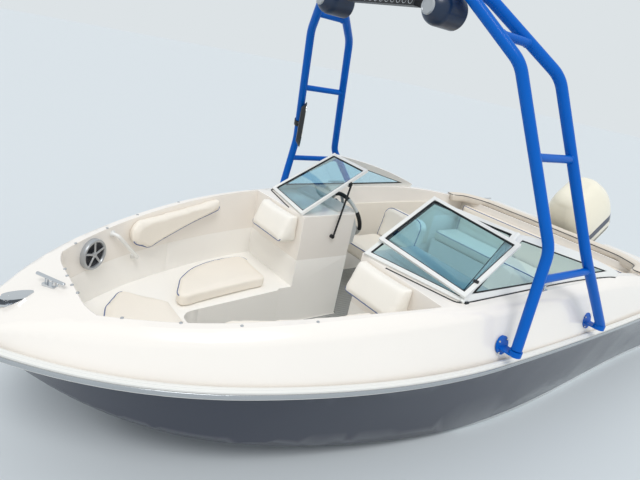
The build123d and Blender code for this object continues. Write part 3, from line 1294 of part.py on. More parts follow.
add("bench_back", bench_back)
add("stern_bolster", bolster(deck, seat_deck))
add("side_panels", both_sides(side_panel()))
front_tube = hoop(FRONT_FOOT_X, FRONT_HOOP)
rear_tube = hoop(REAR_FOOT_X, REAR_HOOP)
feet = [tower_foot(x) for x in (FRONT_FOOT_X, REAR_FOOT_X)]
foot_parts = [s for f in feet for s in both_sides(f - deck).solids()]
foot_all = Compound(children=foot_parts)
add("tower_feet", foot_all)
add("tower_front_hoop", front_tube - foot_all)
add("tower_rear_hoop", rear_tube - foot_all)
add("tower_rungs", both_sides(rungs(front_tube, rear_tube)))
add("light_bar", light_bar(front_tube))
pods = [speaker_pod(side) for side in (-1, 1)]
add("speaker_pods", Compound(children=[s for p in pods for s in (p[0] - front_tube).solids()]))
add("speaker_rings", Compound(children=[s for p in pods for s in p[1].solids()]))
mirror_shell, mirror_glass = tow_mirror(front_tube)
add("mirror", mirror_shell)
add("mirror_glass", mirror_glass)
add("motor_clamp", clamp_bracket())
add("motor_swivel", swivel_bracket())
add("motor_leg", midsection())
add("gearcase", gearcase())
add("motor_pan", motor_pan())
add("motor_cowl", cowl())
add("powerhead", powerhead())
add("propeller", propeller())

if __name__ == "__main__":
    os.makedirs("parts", exist_ok=True)
    for name, shape in PARTS.items():
        export_step(shape, f"parts/{name}.step")
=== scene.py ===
"""Finish and soft furnishings of an open-bow speedboat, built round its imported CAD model.

Metres, +X to the bow, +Y to port, +Z up, with the waterline at z = 0.
"""

import json
import math

import bmesh
import bpy
from mathutils import Matrix, Vector
from mathutils.bvhtree import BVHTree


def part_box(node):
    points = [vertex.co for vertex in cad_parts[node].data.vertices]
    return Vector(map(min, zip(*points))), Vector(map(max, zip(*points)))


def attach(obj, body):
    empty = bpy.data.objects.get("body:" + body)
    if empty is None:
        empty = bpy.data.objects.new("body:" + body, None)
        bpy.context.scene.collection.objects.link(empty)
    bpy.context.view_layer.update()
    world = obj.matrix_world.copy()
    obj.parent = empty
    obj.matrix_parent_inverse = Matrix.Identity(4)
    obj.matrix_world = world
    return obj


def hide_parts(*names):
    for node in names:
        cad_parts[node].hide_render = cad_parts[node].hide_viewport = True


bl_info = {
    "name": "Bowrider speedboat",
    "version": (1, 0, 0),
    "blender": (4, 5, 0),
    "location": "View3D > Sidebar > Speedboat",
    "description": "Dresses the CAD model of a bowrider with its upholstery, fittings and finishes",
    "category": "Object",
}

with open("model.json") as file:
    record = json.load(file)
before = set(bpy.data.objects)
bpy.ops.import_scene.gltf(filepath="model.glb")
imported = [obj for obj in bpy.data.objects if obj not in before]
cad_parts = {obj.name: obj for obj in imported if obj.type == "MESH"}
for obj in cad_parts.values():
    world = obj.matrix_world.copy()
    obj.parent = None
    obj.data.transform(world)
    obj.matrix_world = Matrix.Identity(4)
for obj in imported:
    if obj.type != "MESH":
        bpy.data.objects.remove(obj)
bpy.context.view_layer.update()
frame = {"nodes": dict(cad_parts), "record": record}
BODY_OF = {node: body for body, nodes in frame["record"]["behaviour"]["bodies"].items() for node in nodes}

# The photograph's camera: place, heading and focal length in pixels of a frame 640 wide
CAMERA_AT = (2.42, 2.257, 1.983)
CAMERA_YAW = -130.63
CAMERA_PITCH = -19.92
CAMERA_ROLL = 11.7
FOCAL_PIXELS = 508.2
FRAME_WIDE = 640.0
FRAME_HIGH = 480.0
SENSOR_WIDE = 36.0

# Directions
UP = Vector((0, 0, 1))
DOWN = Vector((0, 0, -1))
AHEAD = Vector((1, 0, 0))
ASTERN = Vector((-1, 0, 0))
# Finishes: millimetres to the metre, the usual range of a noise, the coat's roughness, the matting's pitch
MM = 1000.0
NOISE_LOW = 0.3
NOISE_HIGH = 0.7
COAT_ROUGH = 0.05
RIB_MM = 26.0
# Where the pale bottom ends, the deck and liner meet, the two liners meet, and the seats' tops lie
BOOT_LINE = 0.035
SHEER_JOINT = 0.62
LINER_JOINT_X = 1.15
SEAT_TOP = 0.415
# Meshes: points nearer than this are one, points this near to a plane lie on it, angle of a rounded edge
SAME_POINT = 1e-5
ON_PLANE = 1e-4
EDGE_ANGLE = math.radians(38.0)
# Padded pieces: the cloth's settings, its last frame, its share of the cap taken off before, how far a pad
# may stand off its solid, how finely its outline is drawn, and a long pad's cap
FOAM = {"quality": 5, "mass": 0.3, "tension_stiffness": 12.0, "compression_stiffness": 12.0,
        "shear_stiffness": 4.0, "bending_stiffness": 0.4, "use_pressure": True, "uniform_pressure_force": 4.0}
FOAM_FRAMES = 20
TAKEN_IN = 0.25
PROUD = 0.006
OUTLINE_STEP = 0.014
LONG_PAD_CAP = 0.006
# Sewn seams: depth, width and the distance of the cockpit seats' seams from the centreline
SEAM_DEEP = 0.004
SEAM_WIDE = 0.009
SEAT_OUT = 0.56
# Snap fasteners round the bow well, in pixels of the photograph
SNAP_PIXELS = [(65, 269), (72, 285), (80.5, 298), (98, 312), (122, 318), (181, 323), (242, 326), (318, 322)]
# Latches and clips on the windshield's frames, in pixels of the photograph
LATCH_PIXELS = [(466, 303), (414, 288)]
WINDOW_LATCH_PIXELS = [(476, 282), (511, 246)]
# Port windshield: foot of its hinge, its corner, its after tip, the two upper corners, and a frame's depth
SCREEN_FOOT_IN = Vector((0.382, 0.321, 0.968))
SCREEN_CORNER = Vector((0.232, 0.93, 0.95))
SCREEN_TIP = Vector((-1.4, 1.01, 0.958))
SCREEN_HEAD_IN = Vector((-0.097, 0.314, 1.268))
SCREEN_HEAD_OUT = Vector((-0.223, 0.851, 1.257))
SCREEN_FRAME = 0.018
# Gaskets and sealant: radius, inset of a gasket from its pane's edge, its height over the pane, the
# sealant's steps along a frame and how far below the frame it is looked for
BEAD = 0.0045
GASKET_INSET = 0.0105
GASKET_UP = 0.0015
SEALANT_STEPS = 24
SEALANT_REACH = 0.16
# Tower: rows of lamp cups in its bar, and the bolts round the middle of each foot's inner face
LAMP_COUNT = 12
LAMP_MARGIN = 0.03
LAMP_ROW = 0.017
LAMP_BAR_HIGH = 0.078
FOOT_Z = 0.722
FOOT_BOLTS = ((-0.034, 0.03), (0.034, 0.03), (-0.034, -0.03), (0.034, -0.03))
FOOT_INNER = 0.02
# Speakers: how far aft a bow speaker faces, the radius at which its ring is traced, the depth of its
# seat, and the height of a pod's middle over its lowest point
SPEAKER_TURN = -0.42
RING_TRACE = 0.079
SPEAKER_SEAT = 0.016
POD_MIDDLE = 0.079
# Turned pieces: radius and height
WELD = ((0.0205, -0.003), (0.0235, 0.0), (0.0245, 0.004), (0.0205, 0.01))
LAMP_CUP = ((0.0, -0.004), (0.006, -0.003), (0.0135, 0.0025), (0.015, 0.0025), (0.015, -0.001))
BOLT_HEAD = ((0.0, 0.005), (0.0055, 0.005), (0.0065, 0.0035), (0.0065, -0.001))
SPEAKER_RING = ((0.0, -0.03), (0.088, -0.03), (0.0895, 0.0), (0.0895, 0.006), (0.086, 0.0145),
                (0.081, 0.0165), (0.074, 0.0145), (0.0705, 0.008), (0.0705, 0.002))
SPEAKER_CONE = ((0.0715, 0.003), (0.066, 0.0065), (0.06, 0.003), (0.034, -0.012), (0.022, -0.014),
                (0.016, -0.006), (0.0, -0.003))
SPEAKER_HUB = ((0.0, 0.0165), (0.01, 0.016), (0.0165, 0.012), (0.0175, 0.004))
POD_BADGE = ((0.0, 0.0045), (0.03, 0.004), (0.0315, 0.0065), (0.037, 0.005), (0.04, -0.003), (0.041, -0.012))
POD_CONE = ((0.064, -0.004), (0.06, 0.0), (0.052, -0.0025), (0.024, -0.0035), (0.018, 0.001), (0.0, 0.0025))
SNAP = ((0.0, 0.0048), (0.0035, 0.0046), (0.0066, 0.0032), (0.0078, 0.0008), (0.0078, -0.002))
BOW_LENS = ((0.064, -0.012), (0.0735, -0.008), (0.0735, 0.008), (0.066, 0.012))
WHEEL_BOSS = ((0.0, 0.013), (0.026, 0.011), (0.034, 0.003), (0.035, -0.002))
SHAFT_END = ((0.0, 0.03), (0.008, 0.03), (0.01, 0.026), (0.01, 0.012))
PROPELLER_NUT = ((0.0, 0.012), (0.017, 0.012), (0.019, 0.009), (0.019, 0.0), (0.026, -0.001))
# Motor: place of its tilt tube, and how far it is tilted up
TILT_TUBE = Vector((-2.89, 0.0, 0.458))
MOTOR_TILT = math.radians(36.0)
MOTOR_UP = Vector((math.sin(MOTOR_TILT), 0.0, math.cos(MOTOR_TILT)))
COWL_SEAM = 0.25
STRIPE_OVER_SEAM = 0.068
# Motor's small pieces in its own axes from the tilt tube: place, size and rounding
NUT_AT = (-0.557, 0, -0.9)
ANODE = ((-0.47, 0, -0.722), (0.085, 0.05, 0.016), 0.005)
LATCH_PLATE = ((-0.559, 0, 0.262), (0.014, 0.06, 0.05), 0.004)
LATCH_GRIP = ((-0.569, 0, 0.25), (0.01, 0.04, 0.07), 0.003)
# Wheel: its centre and the direction of its column towards the helmsman
WHEEL_CENTRE = Vector((-0.2, -0.56, 0.85))
WHEEL_FACING = Vector((-math.cos(math.radians(25)), 0.0, math.sin(math.radians(25))))
# Wheel's grips: radius of the ring they follow, their own radius, half their arc and its steps
GRIP_RING = 0.172
GRIP_THICK = 0.0158
GRIP_ARC = 26
GRIP_STEPS = 14
# Gauges: y, z and radius, how far aft their rays start, and the needles' turn
GAUGES = ((-0.47, 0.935, 0.03), (-0.56, 0.935, 0.042), (-0.66, 0.935, 0.042), (-0.75, 0.935, 0.03))
GAUGE_RAY_X = -0.6
NEEDLE_TURN = Matrix.Rotation(math.radians(38), 4, "Z")
# Stage: half the floor's width, and the sun's strength, size and place
FLOOR_HALF = 60.0
SUN_POWER = 1.2
SUN_SIZE = math.radians(24.0)
SUN_FROM = (0.35, 0.55, 1.0)


def hue(name, part, default):
    """A setting for the colour of a part."""
    return bpy.props.StringProperty(name=name, description="Colour of " + part, default=default)


def measure(name, description, default, least, most):
    """A setting for a length in metres."""
    return bpy.props.FloatProperty(name=name, description=description, default=default, min=least, max=most,
                                   subtype="DISTANCE", unit="LENGTH")


class Finish(bpy.types.PropertyGroup):
    """Colours and sizes that a user may change."""
    gelcoat: hue("Deck", "the deck's gelcoat", "#f6f0e8")
    topsides: hue("Topsides", "the hull's sides", "#1c2438")
    bottom: hue("Bottom", "the hull's bottom", "#d9dcdd")
    vinyl: hue("Vinyl", "the cushions", "#f4ecdf")
    bolster: hue("Bolster", "the stern bolster", "#e0d6c8")
    piping: hue("Piping", "the cushions' piping", "#4f6496")
    tower: hue("Tower", "the tower's paint", "#005fbe")
    motor: hue("Motor", "the motor's paint", "#f2ecd8")
    piping_radius: measure("Piping radius", "Radius of the piping", 0.0036, 0.001, 0.01)
    voxel: measure("Pad grain", "Voxel size of the padded pieces", 0.012, 0.005, 0.03)
    swell: measure("Swell", "Furthest that a pad's surface may swell", 0.014, 0.0, 0.03)
    stripe: measure("Motor stripe", "Width of the stripe round the motor's cover", 0.078, 0.0, 0.1)


def settings():
    """The add-on's settings."""
    return bpy.context.scene.speedboat


# Colours and materials

MATERIALS = {}


def linear(colour):
    """A linear colour from an sRGB hex value."""
    parts = [int(colour[i:i + 2], 16) / 255.0 for i in (1, 3, 5)]
    return tuple(c / 12.92 if c <= 0.04045 else ((c + 0.055) / 1.055) ** 2.4 for c in parts) + (1.0,)


def put(node, inputs):
    """Give a node's sockets their values, or the sockets that feed them."""
    for key, value in inputs.items():
        if isinstance(value, bpy.types.NodeSocket):
            node.id_data.links.new(value, node.inputs[key])
        else:
            node.inputs[key].default_value = value


def add(tree, kind, inputs=None, **values):
    """Add a shader node, with its settings and inputs."""
    made = tree.nodes.new("ShaderNode" + kind)
    for key, value in values.items():
        setattr(made, key, value)
    put(made, inputs or {})
    return made


def shades(colour, spread):
    """A darker and a lighter shade of a colour."""
    base = linear(colour)
    return [tuple(min(1.0, c * (1.0 + side * spread)) for c in base[:3]) + (1.0,) for side in (-1, 1)]


def blank(name):
    """A new material with its tree, its Principled shader and the object's coordinates."""
    made = bpy.data.materials.new(name)
    made.use_nodes = True
    tree = made.node_tree
    tree.nodes.clear()
    shader = add(tree, "BsdfPrincipled")
    add(tree, "OutputMaterial", {"Surface": shader.outputs[0]})
    place = add(tree, "TexCoord").outputs["Object"]
    return made, tree, shader, place


def dress_up(tree, shader, place, colour, rough, bumps, patch_mm=400.0, spread=0.03, rough_spread=0.04):
    """Patchy colour and gloss, and bumps: rows of kind, size in mm, height in mm and strength."""
    broad = add(tree, "TexNoise", {"Vector": place, "Scale": MM / patch_mm, "Detail": 4.0})
    if isinstance(colour, str):
        dark, light = shades(colour, spread)
        mixed = add(tree, "Mix", {0: broad.outputs["Fac"], 6: dark, 7: light}, data_type="RGBA")
        colour = mixed.outputs[2]
    gloss = add(tree, "MapRange", {
        "Value": broad.outputs["Fac"], "From Min": NOISE_LOW, "From Max": NOISE_HIGH,
        "To Min": rough - rough_spread, "To Max": rough + rough_spread})
    put(shader, {"Base Color": colour, "Roughness": gloss.outputs[0]})
    normal = None
    for kind, size, height, strength in bumps:
        if kind == "grain":
            pattern = add(tree, "TexVoronoi", {"Vector": place, "Scale": MM / size},
                          feature="SMOOTH_F1").outputs["Distance"]
        else:
            pattern = add(tree, "TexNoise",
                          {"Vector": place, "Scale": MM / size, "Detail": 3.0}).outputs["Fac"]
        inputs = {"Height": pattern, "Distance": height / MM, "Strength": strength}
        if normal is not None:
            inputs["Normal"] = normal
        normal = add(tree, "Bump", inputs).outputs[0]
    if normal is not None:
        put(shader, {"Normal": normal})


def plain(key, name, colour, rough, *bumps, metallic=0.0, ior=1.5, coat=0.0, sheen=0.0, **looks):
    """A material of one colour with its patches, gloss and bumps, kept under a key."""
    made, tree, shader, place = blank(name)
    put(shader, {"Metallic": metallic, "IOR": ior, "Coat Weight": coat, "Coat Roughness": COAT_ROUGH,
                 "Sheen Weight": sheen})
    dress_up(tree, shader, place, colour, rough, bumps=bumps, **looks)
    MATERIALS[key] = made


def banded(key, name, direction, origin, edges, colours, rough, coat, *bumps):
    """A material in bands along a direction: the edges between them, and one colour more than edges."""
    made, tree, shader, place = blank(name)
    put(shader, {"Coat Weight": coat, "Coat Roughness": COAT_ROUGH})
    away = add(tree, "VectorMath", {0: place, 1: tuple(origin)}, operation="SUBTRACT").outputs[0]
    height = add(tree, "VectorMath", {0: away, 1: tuple(direction)},
                 operation="DOT_PRODUCT").outputs["Value"]
    colour = linear(colours[0])
    for edge, following in zip(edges, colours[1:]):
        past = add(tree, "Math", {0: height, 1: edge}, operation="GREATER_THAN").outputs[0]
        colour = add(tree, "Mix", {0: past, 6: colour, 7: linear(following)},
                     data_type="RGBA").outputs[2]
    dress_up(tree, shader, place, colour, rough, bumps=bumps)
    MATERIALS[key] = made


def mat_finish():
    """Marine matting: grey ribs along the boat, parted by grooves 26 mm apart that are painted dark as shade.
    """
    made, tree, shader, place = blank("matting")
    across = add(tree, "SeparateXYZ", {0: place}).outputs["Y"]
    scaled = add(tree, "Math", {0: across, 1: MM / RIB_MM}, operation="MULTIPLY").outputs[0]
    phase = add(tree, "Math", {0: scaled}, operation="FRACT").outputs[0]
    rib = add(tree, "MapRange", {"Value": phase, "From Min": 0.06, "From Max": 0.16}).outputs[0]
    fluff = add(tree, "TexNoise", {"Vector": place, "Scale": 260.0, "Detail": 4.0}).outputs["Fac"]
    dark, light = shades("#9c9d99", 0.16)
    worn = add(tree, "Mix", {0: fluff, 6: dark, 7: light}, data_type="RGBA").outputs[2]
    # Dark grey in the grooves between the ribs: painted shade
    colour = add(tree, "Mix", {0: rib, 6: linear("#4a4c4c"), 7: worn}, data_type="RGBA").outputs[2]
    raised = add(tree, "Bump", {"Height": rib, "Distance": 0.003, "Strength": 0.8}).outputs[0]
    bump = add(tree, "Bump", {"Height": fluff, "Distance": 0.001, "Strength": 0.6, "Normal": raised})
    put(shader, {"Base Color": colour, "Roughness": 0.92, "Sheen Weight": 0.15, "Normal": bump.outputs[0]})
    MATERIALS["matting"] = made


def clear(key, name, colour, rough, ior):
    """A clear material, with fine wiping marks in its gloss."""
    made, tree, shader, place = blank(name)
    marks = add(tree, "TexNoise", {"Vector": place, "Scale": 9.0, "Detail": 6.0}).outputs["Fac"]
    gloss = add(tree, "MapRange", {"Value": marks, "To Min": rough * 0.5, "To Max": rough * 1.6})
    put(shader, {"Base Color": linear(colour), "Transmission Weight": 1.0, "IOR": ior,
                 "Roughness": gloss.outputs[0]})
    MATERIALS[key] = made


def make_materials():
    """Make every finish of the boat."""
    s = settings()
    # Polished gelcoat over glass fibre: a deep gloss with long soft waves left by the mould
    plain("gelcoat", "gelcoat", s.gelcoat, 0.2, ("waves", 320.0, 1.2, 0.25), ior=1.55, coat=0.5, spread=0.012)
    # Gelcoat in two colours: dark topsides over a pale bottom, parted just above the water
    banded("hull_gelcoat", "hull-gelcoat", (0, 0, 1), (0, 0, 0), [BOOT_LINE], [s.bottom, s.topsides], 0.22,
           0.25, ("waves", 380.0, 1.5, 0.3))
    # Liner gelcoat with a fine moulded grain, which scatters its gloss; its colour is the deck's white
    # gelcoat painted lighter, as painted fill light in the shaded wells
    plain("liner", "liner-gelcoat-painted-lighter", "#fbf8f2", 0.34, ("grain", 5.0, 0.25, 0.35), ior=1.52, coat=0.2,
          spread=0.015)
    # Marine vinyl on foam: fine leather grain, soft satin, slightly soiled in broad patches
    leather = [("waves", 90.0, 2.2, 0.3), ("grain", 3.2, 0.25, 0.4)]
    plain("vinyl", "marine-vinyl", s.vinyl, 0.46, *leather, sheen=0.05, patch_mm=180.0, spread=0.03)
    # A lighter copy of the cushions' vinyl for the upright backrests: painted fill light on their shaded
    # faces
    plain("vinyl_painted_lighter", "marine-vinyl-painted-lighter", "#f9f4ea", 0.44, *leather, patch_mm=180.0, spread=0.02)
    plain("vinyl_tan", "marine-vinyl-tan", s.bolster, 0.48, *leather, sheen=0.05, patch_mm=160.0,
          spread=0.045)
    # Extruded vinyl piping, rubber gaskets and the vinyl of the rail
    plain("piping", "vinyl-piping", s.piping, 0.4, ("grain", 2.0, 0.15, 0.3))
    plain("piping_dark", "vinyl-piping-dark", "#3a3b40", 0.42, ("grain", 2.0, 0.15, 0.3))
    plain("rubber", "epdm-rubber", "#202123", 0.6, ("grain", 2.5, 0.2, 0.4))
    plain("rail", "rail-vinyl", "#e8e7e2", 0.38, ("waves", 60.0, 0.5, 0.3))
    mat_finish()
    # Powder coat on aluminium extrusion: an even skin with faint orange peel
    plain("white_coat", "white-powder-coat", "#ecece8", 0.33, ("grain", 2.2, 0.08, 0.35), coat=0.15)
    plain("tower_paint", "blue-enamel", s.tower, 0.32, ("grain", 4.0, 0.12, 0.3), ("waves", 130.0, 0.5, 0.2),
          ior=1.22, coat=0.06, spread=0.07, patch_mm=220.0)
    # Acrylic sheet, faintly blue-green, its real tint pushed bluer as a painted reflection of the sky, and
    # the smoked lens of the bow light
    clear("acrylic", "acrylic", "#cdeaf3", 0.02, 1.49)
    clear("lens", "smoked-lens", "#5a6068", 0.05, 1.5)
    # ABS mouldings, the wheel's rubbery grips, paper cones
    plain("abs_black", "abs-black", "#17191c", 0.42, ("grain", 2.0, 0.15, 0.4))
    plain("abs_grey", "abs-grey", "#c6c8c6", 0.46, ("grain", 2.4, 0.15, 0.4))
    plain("abs_white", "abs-white", "#efeeea", 0.32, ("grain", 2.4, 0.08, 0.3), coat=0.2)
    plain("grip", "wheel-grip", "#1c1d1f", 0.62, ("grain", 3.0, 0.35, 0.7))
    plain("cone", "speaker-cone", "#2b2d33", 0.55, ("grain", 2.0, 0.3, 0.5))
    # Polished stainless steel, chrome plate and cast or machined metal
    plain("chrome", "chrome-plate", "#d5d7da", 0.09, ("waves", 25.0, 0.08, 0.2), metallic=1.0)
    plain("stainless", "stainless-steel", "#bfc1c3", 0.2, ("waves", 5.0, 0.05, 0.3), metallic=1.0,
          rough_spread=0.06)
    plain("pewter", "satin-alloy", "#8d9092", 0.3, ("grain", 2.5, 0.08, 0.3), metallic=1.0)
    plain("silver", "satin-chrome", "#b4b7ba", 0.32, ("grain", 2.5, 0.05, 0.3), metallic=0.55)
    plain("navy_shell", "navy-enamel", "#0b2440", 0.34, ("grain", 3.0, 0.1, 0.3), coat=0.15)
    plain("mirror", "silvered-glass", "#dfe3e4", 0.02, metallic=1.0, rough_spread=0.01)
    plain("zinc", "zinc-anode", "#8a8d8e", 0.6, ("grain", 4.0, 0.5, 0.7), metallic=0.8)
    plain("iron", "cast-iron", "#2b2c2e", 0.6, ("grain", 3.0, 0.4, 0.6), metallic=0.3)
    # Sprayed enamel on the motor, with a stripe round the cover just over its seam
    low = COWL_SEAM + STRIPE_OVER_SEAM
    orange_peel = ("waves", 160.0, 0.6, 0.2)
    plain("motor_paint", "cream-enamel", s.motor, 0.22, orange_peel, coat=0.5, spread=0.015)
    banded("cowl_paint", "striped-enamel", MOTOR_UP, TILT_TUBE, [low, low + s.stripe],
           [s.motor, "#171f3e", s.motor], 0.24, 0.3, orange_peel)
    plain("motor_dark", "charcoal-enamel", "#2e3236", 0.3, ("grain", 3.0, 0.12, 0.3), coat=0.3)
    plain("prop_paint", "black-enamel", "#15171a", 0.3, ("grain", 3.0, 0.1, 0.3), coat=0.3)
    plain("gauge", "gauge-face", "#14171c", 0.35)


# Shapes


def smooth(mesh, angle):
    """Shade a mesh smooth up to an angle between its faces."""
    mesh.polygons.foreach_set("use_smooth", [True] * len(mesh.polygons))
    mesh.set_sharp_from_angle(angle=math.radians(angle))


def linked(name, data):
    """A new object of the scene."""
    obj = bpy.data.objects.new(name, data)
    bpy.context.scene.collection.objects.link(obj)
    return obj


def finished(name, bm, look, body, angle=40.0):
    """An object from a bmesh, in its finish, riding on a body."""
    bm.normal_update()
    mesh = written(bm, bpy.data.meshes.new(name))
    mesh.materials.append(MATERIALS[look])
    obj = linked(name, mesh)
    smooth(mesh, angle)
    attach(obj, body)
    return obj


def read(mesh):
    """A bmesh of a mesh."""
    bm = bmesh.new()
    bm.from_mesh(mesh)
    return bm


def written(bm, mesh):
    """The mesh, with the bmesh written into it."""
    bm.to_mesh(mesh)
    bm.free()
    return mesh


def solids(node):
    """The closed solids of a CAD node, each as a bmesh of its own."""
    whole = read(frame["nodes"][node].data)
    bmesh.ops.remove_doubles(whole, verts=whole.verts, dist=SAME_POINT)
    whole.verts.index_update()
    found, seen = [], set()
    for start in whole.verts:
        if start.index in seen:
            continue
        island, queue = {start.index}, [start]
        while queue:
            for edge in queue.pop().link_edges:
                for vert in edge.verts:
                    if vert.index not in island:
                        island.add(vert.index)
                        queue.append(vert)
        seen |= island
        found.append(island)
    made = []
    for island in found:
        piece = whole.copy()
        piece.verts.ensure_lookup_table()
        gone = [v for v in piece.verts if v.index not in island]
        bmesh.ops.delete(piece, geom=gone, context="VERTS")
        piece.normal_update()
        made.append(piece)
    whole.free()
    made.sort(key=lambda bm: -max(v.co.y for v in bm.verts))
    return made


def dressed(node, look, bevel=0.0, angle=32.0, joints=(), fillet=None):
    """A CAD node as one fair surface, its edges rounded except on a joint: an axis and its place on it.

    A fillet is a height and the share that rounded edges elsewhere have of the inner edge at that height.
    """
    bm = read(frame["nodes"][node].data)
    bmesh.ops.remove_doubles(bm, verts=bm.verts, dist=SAME_POINT)
    weights = bm.edges.layers.float.new("bevel_weight_edge")

    def lies_at(edge, axis, at):
        return all(abs(v.co[axis] - at) < ON_PLANE for v in edge.verts)

    for edge in bm.edges:
        if len(edge.link_faces) != 2 or edge.calc_face_angle(0.0) < EDGE_ANGLE:
            continue
        if any(lies_at(edge, axis, at) for axis, at in joints):
            continue
        edge[weights] = 1.0
        if fillet:
            inner = edge.calc_face_angle_signed(0.0) < 0.0 and lies_at(edge, 2, fillet[0])
            edge[weights] = 1.0 if inner else fillet[1]
    obj = finished(node + "_finished", bm, look, BODY_OF[node], angle)
    if bevel:
        rounded = obj.modifiers.new("rounded edges", "BEVEL")
        rounded.width = bevel
        rounded.segments = 3
        rounded.limit_method = "WEIGHT"
    even = obj.modifiers.new("even shading", "WEIGHTED_NORMAL")
    even.keep_sharp = True
    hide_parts(node)
    return obj


def paint(node, look):
    """A CAD node in its finish, its shape left alone."""
    mesh = frame["nodes"][node].data
    mesh.materials.clear()
    mesh.materials.append(MATERIALS[look])


def aimed(point, direction):
    """A place at a point whose Z lies along a direction."""
    return Matrix.Translation(point) @ Vector(direction).to_track_quat("Z", "Y").to_matrix().to_4x4()


def moved(x, y, z):
    """A shift."""
    return Matrix.Translation((x, y, z))


def turn_z(degrees):
    """A turn about Z."""
    return Matrix.Rotation(math.radians(degrees), 4, "Z")


def merged(shapes):
    """One bmesh from several."""
    whole = bmesh.new()
    for each in shapes:
        mesh = written(each, bpy.data.meshes.new("part"))
        whole.from_mesh(mesh)
        bpy.data.meshes.remove(mesh)
    return whole


def turned(profile, place, steps=32):
    """A turned shape: a profile of radius and height spun about Z, then placed."""
    bm = bmesh.new()
    verts = [bm.verts.new((r, 0.0, h)) for r, h in profile]
    edges = [bm.edges.new(pair) for pair in zip(verts, verts[1:])]
    bmesh.ops.spin(bm, geom=verts + edges, cent=(0, 0, 0), axis=(0, 0, 1), angle=2 * math.pi, steps=steps,
                   use_merge=True)
    bmesh.ops.remove_doubles(bm, verts=bm.verts, dist=1e-6)
    bmesh.ops.recalc_face_normals(bm, faces=bm.faces)
    bmesh.ops.transform(bm, matrix=place, verts=bm.verts)
    return bm


def block(place, size, bevel=0.0):
    """A block with rounded edges, placed."""
    bm = bmesh.new()
    bmesh.ops.create_cube(bm, size=1.0, matrix=Matrix.Diagonal((*size, 1.0)))
    if bevel:
        bmesh.ops.bevel(bm, geom=bm.edges[:], offset=bevel, segments=2, affect="EDGES", profile=0.5,
                        material=-1)
    bmesh.ops.transform(bm, matrix=place, verts=bm.verts)
    return bm


def tube(name, loops, radius, look, body, closed=True, sides=2):
    """A tube along each of several lines of points."""
    curve = bpy.data.curves.new(name, "CURVE")
    curve.dimensions = "3D"
    curve.bevel_depth = radius
    curve.bevel_resolution = sides
    curve.use_fill_caps = not closed
    for points in loops:
        spline = curve.splines.new("POLY")
        spline.points.add(len(points) - 1)
        for made, point in zip(spline.points, points):
            made.co = (*point, 1.0)
        spline.use_cyclic_u = closed
    temporary = linked(name + "_path", curve)
    bpy.context.view_layer.update()
    mesh = bpy.data.meshes.new_from_object(temporary.evaluated_get(bpy.context.evaluated_depsgraph_get()))
    bpy.data.objects.remove(temporary)
    bpy.data.curves.remove(curve)
    mesh.name = name
    mesh.materials.clear()
    mesh.materials.append(MATERIALS[look])
    smooth(mesh, 60.0)
    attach(linked(name, mesh), body)


def chain(edges):
    """Closed loops of points from unordered edges, longest first."""
    ahead = {}
    for edge in edges:
        for vert in edge.verts:
            ahead.setdefault(vert, []).append(edge.other_vert(vert))
    loops, used = [], set()
    for start in ahead:
        if start in used:
            continue
        loop, last, here = [start.co.copy()], None, start
        used.add(start)
        while True:
            onward = [v for v in ahead[here] if v is not last and v not in used]
            if not onward:
                break
            last, here = here, onward[0]
            used.add(here)
            loop.append(here.co.copy())
        loops.append(loop)
    return sorted(loops, key=lambda loop: -sum((a - b).length for a, b in zip(loop, loop[1:])))


def evenly(points, step, closed=True):
    """Points spaced evenly along a line."""
    line = points + points[:1] if closed else list(points)
    spans = [(b - a).length for a, b in zip(line, line[1:])]
    total = sum(spans)
    count = max(8, round(total / step))
    made, at, travelled = [], 0, 0.0
    for i in range(count if closed else count + 1):
        want = total * i / count
        while at < len(spans) - 1 and travelled + spans[at] < want:
            travelled += spans[at]
            at += 1
        share = (want - travelled) / spans[at] if spans[at] else 0.0
        made.append(line[at].lerp(line[at + 1], min(1.0, max(0.0, share))))
    return made


def fair(points, rounds, closed=True):
    """Points smoothed along their line."""
    for _ in range(rounds):
        last = len(points)
        eased = []
        for i, point in enumerate(points):
            if not closed and i in (0, last - 1):
                eased.append(point)
            else:
                eased.append((points[i - 1] + point * 2.0 + points[(i + 1) % last]) / 4.0)
        points = eased
    return points


def rim(bm, facing, least=0.55):
    """The outline of the part of a solid that faces a direction."""
    facing = Vector(facing).normalized()
    inside = {f for f in bm.faces if f.normal.dot(facing) > least}
    edges = [e for e in bm.edges if sum(f in inside for f in e.link_faces) == 1]
    return chain(edges)[0]


def run_of(points, towards, share):
    """The longest run of a closed line that lies furthest towards a direction."""
    heights = [p.dot(Vector(towards)) for p in points]
    least = sorted(heights)[round(len(points) * (1.0 - share))]
    inside = [h >= least for h in heights]
    start = inside.index(False)
    runs, run = [], []
    for i in range(1, len(points) + 1):
        at = (start + i) % len(points)
        if inside[at]:
            run.append(points[at])
        elif run:
            runs.append(run)
            run = []
    return max(runs + [run], key=len)


def hugged(points, tree):
    """Points moved onto a padded surface, a millimetre proud of it."""
    made = []
    for point in points:
        near, normal, _, _ = tree.find_nearest(point)
        made.append(near + normal * 0.001)
    return made


def tree_of(mesh):
    """A search tree of a mesh."""
    bm = read(mesh)
    tree = BVHTree.FromBMesh(bm)
    bm.free()
    return tree


def node_tree(node):
    """A search tree of a CAD node."""
    return tree_of(frame["nodes"][node].data)


# Upholstery


def freeze(obj):
    """Give an object the mesh that its modifiers make."""
    graph = bpy.context.evaluated_depsgraph_get()
    mesh = bpy.data.meshes.new_from_object(obj.evaluated_get(graph))
    obj.modifiers.clear()
    obj.data = mesh


def ease(bm, rounds):
    """Smooth a bmesh by moving its points between their neighbours."""
    for _ in range(rounds):
        bmesh.ops.smooth_vert(bm, verts=bm.verts, factor=0.5, use_axis_x=True, use_axis_y=True,
                              use_axis_z=True)


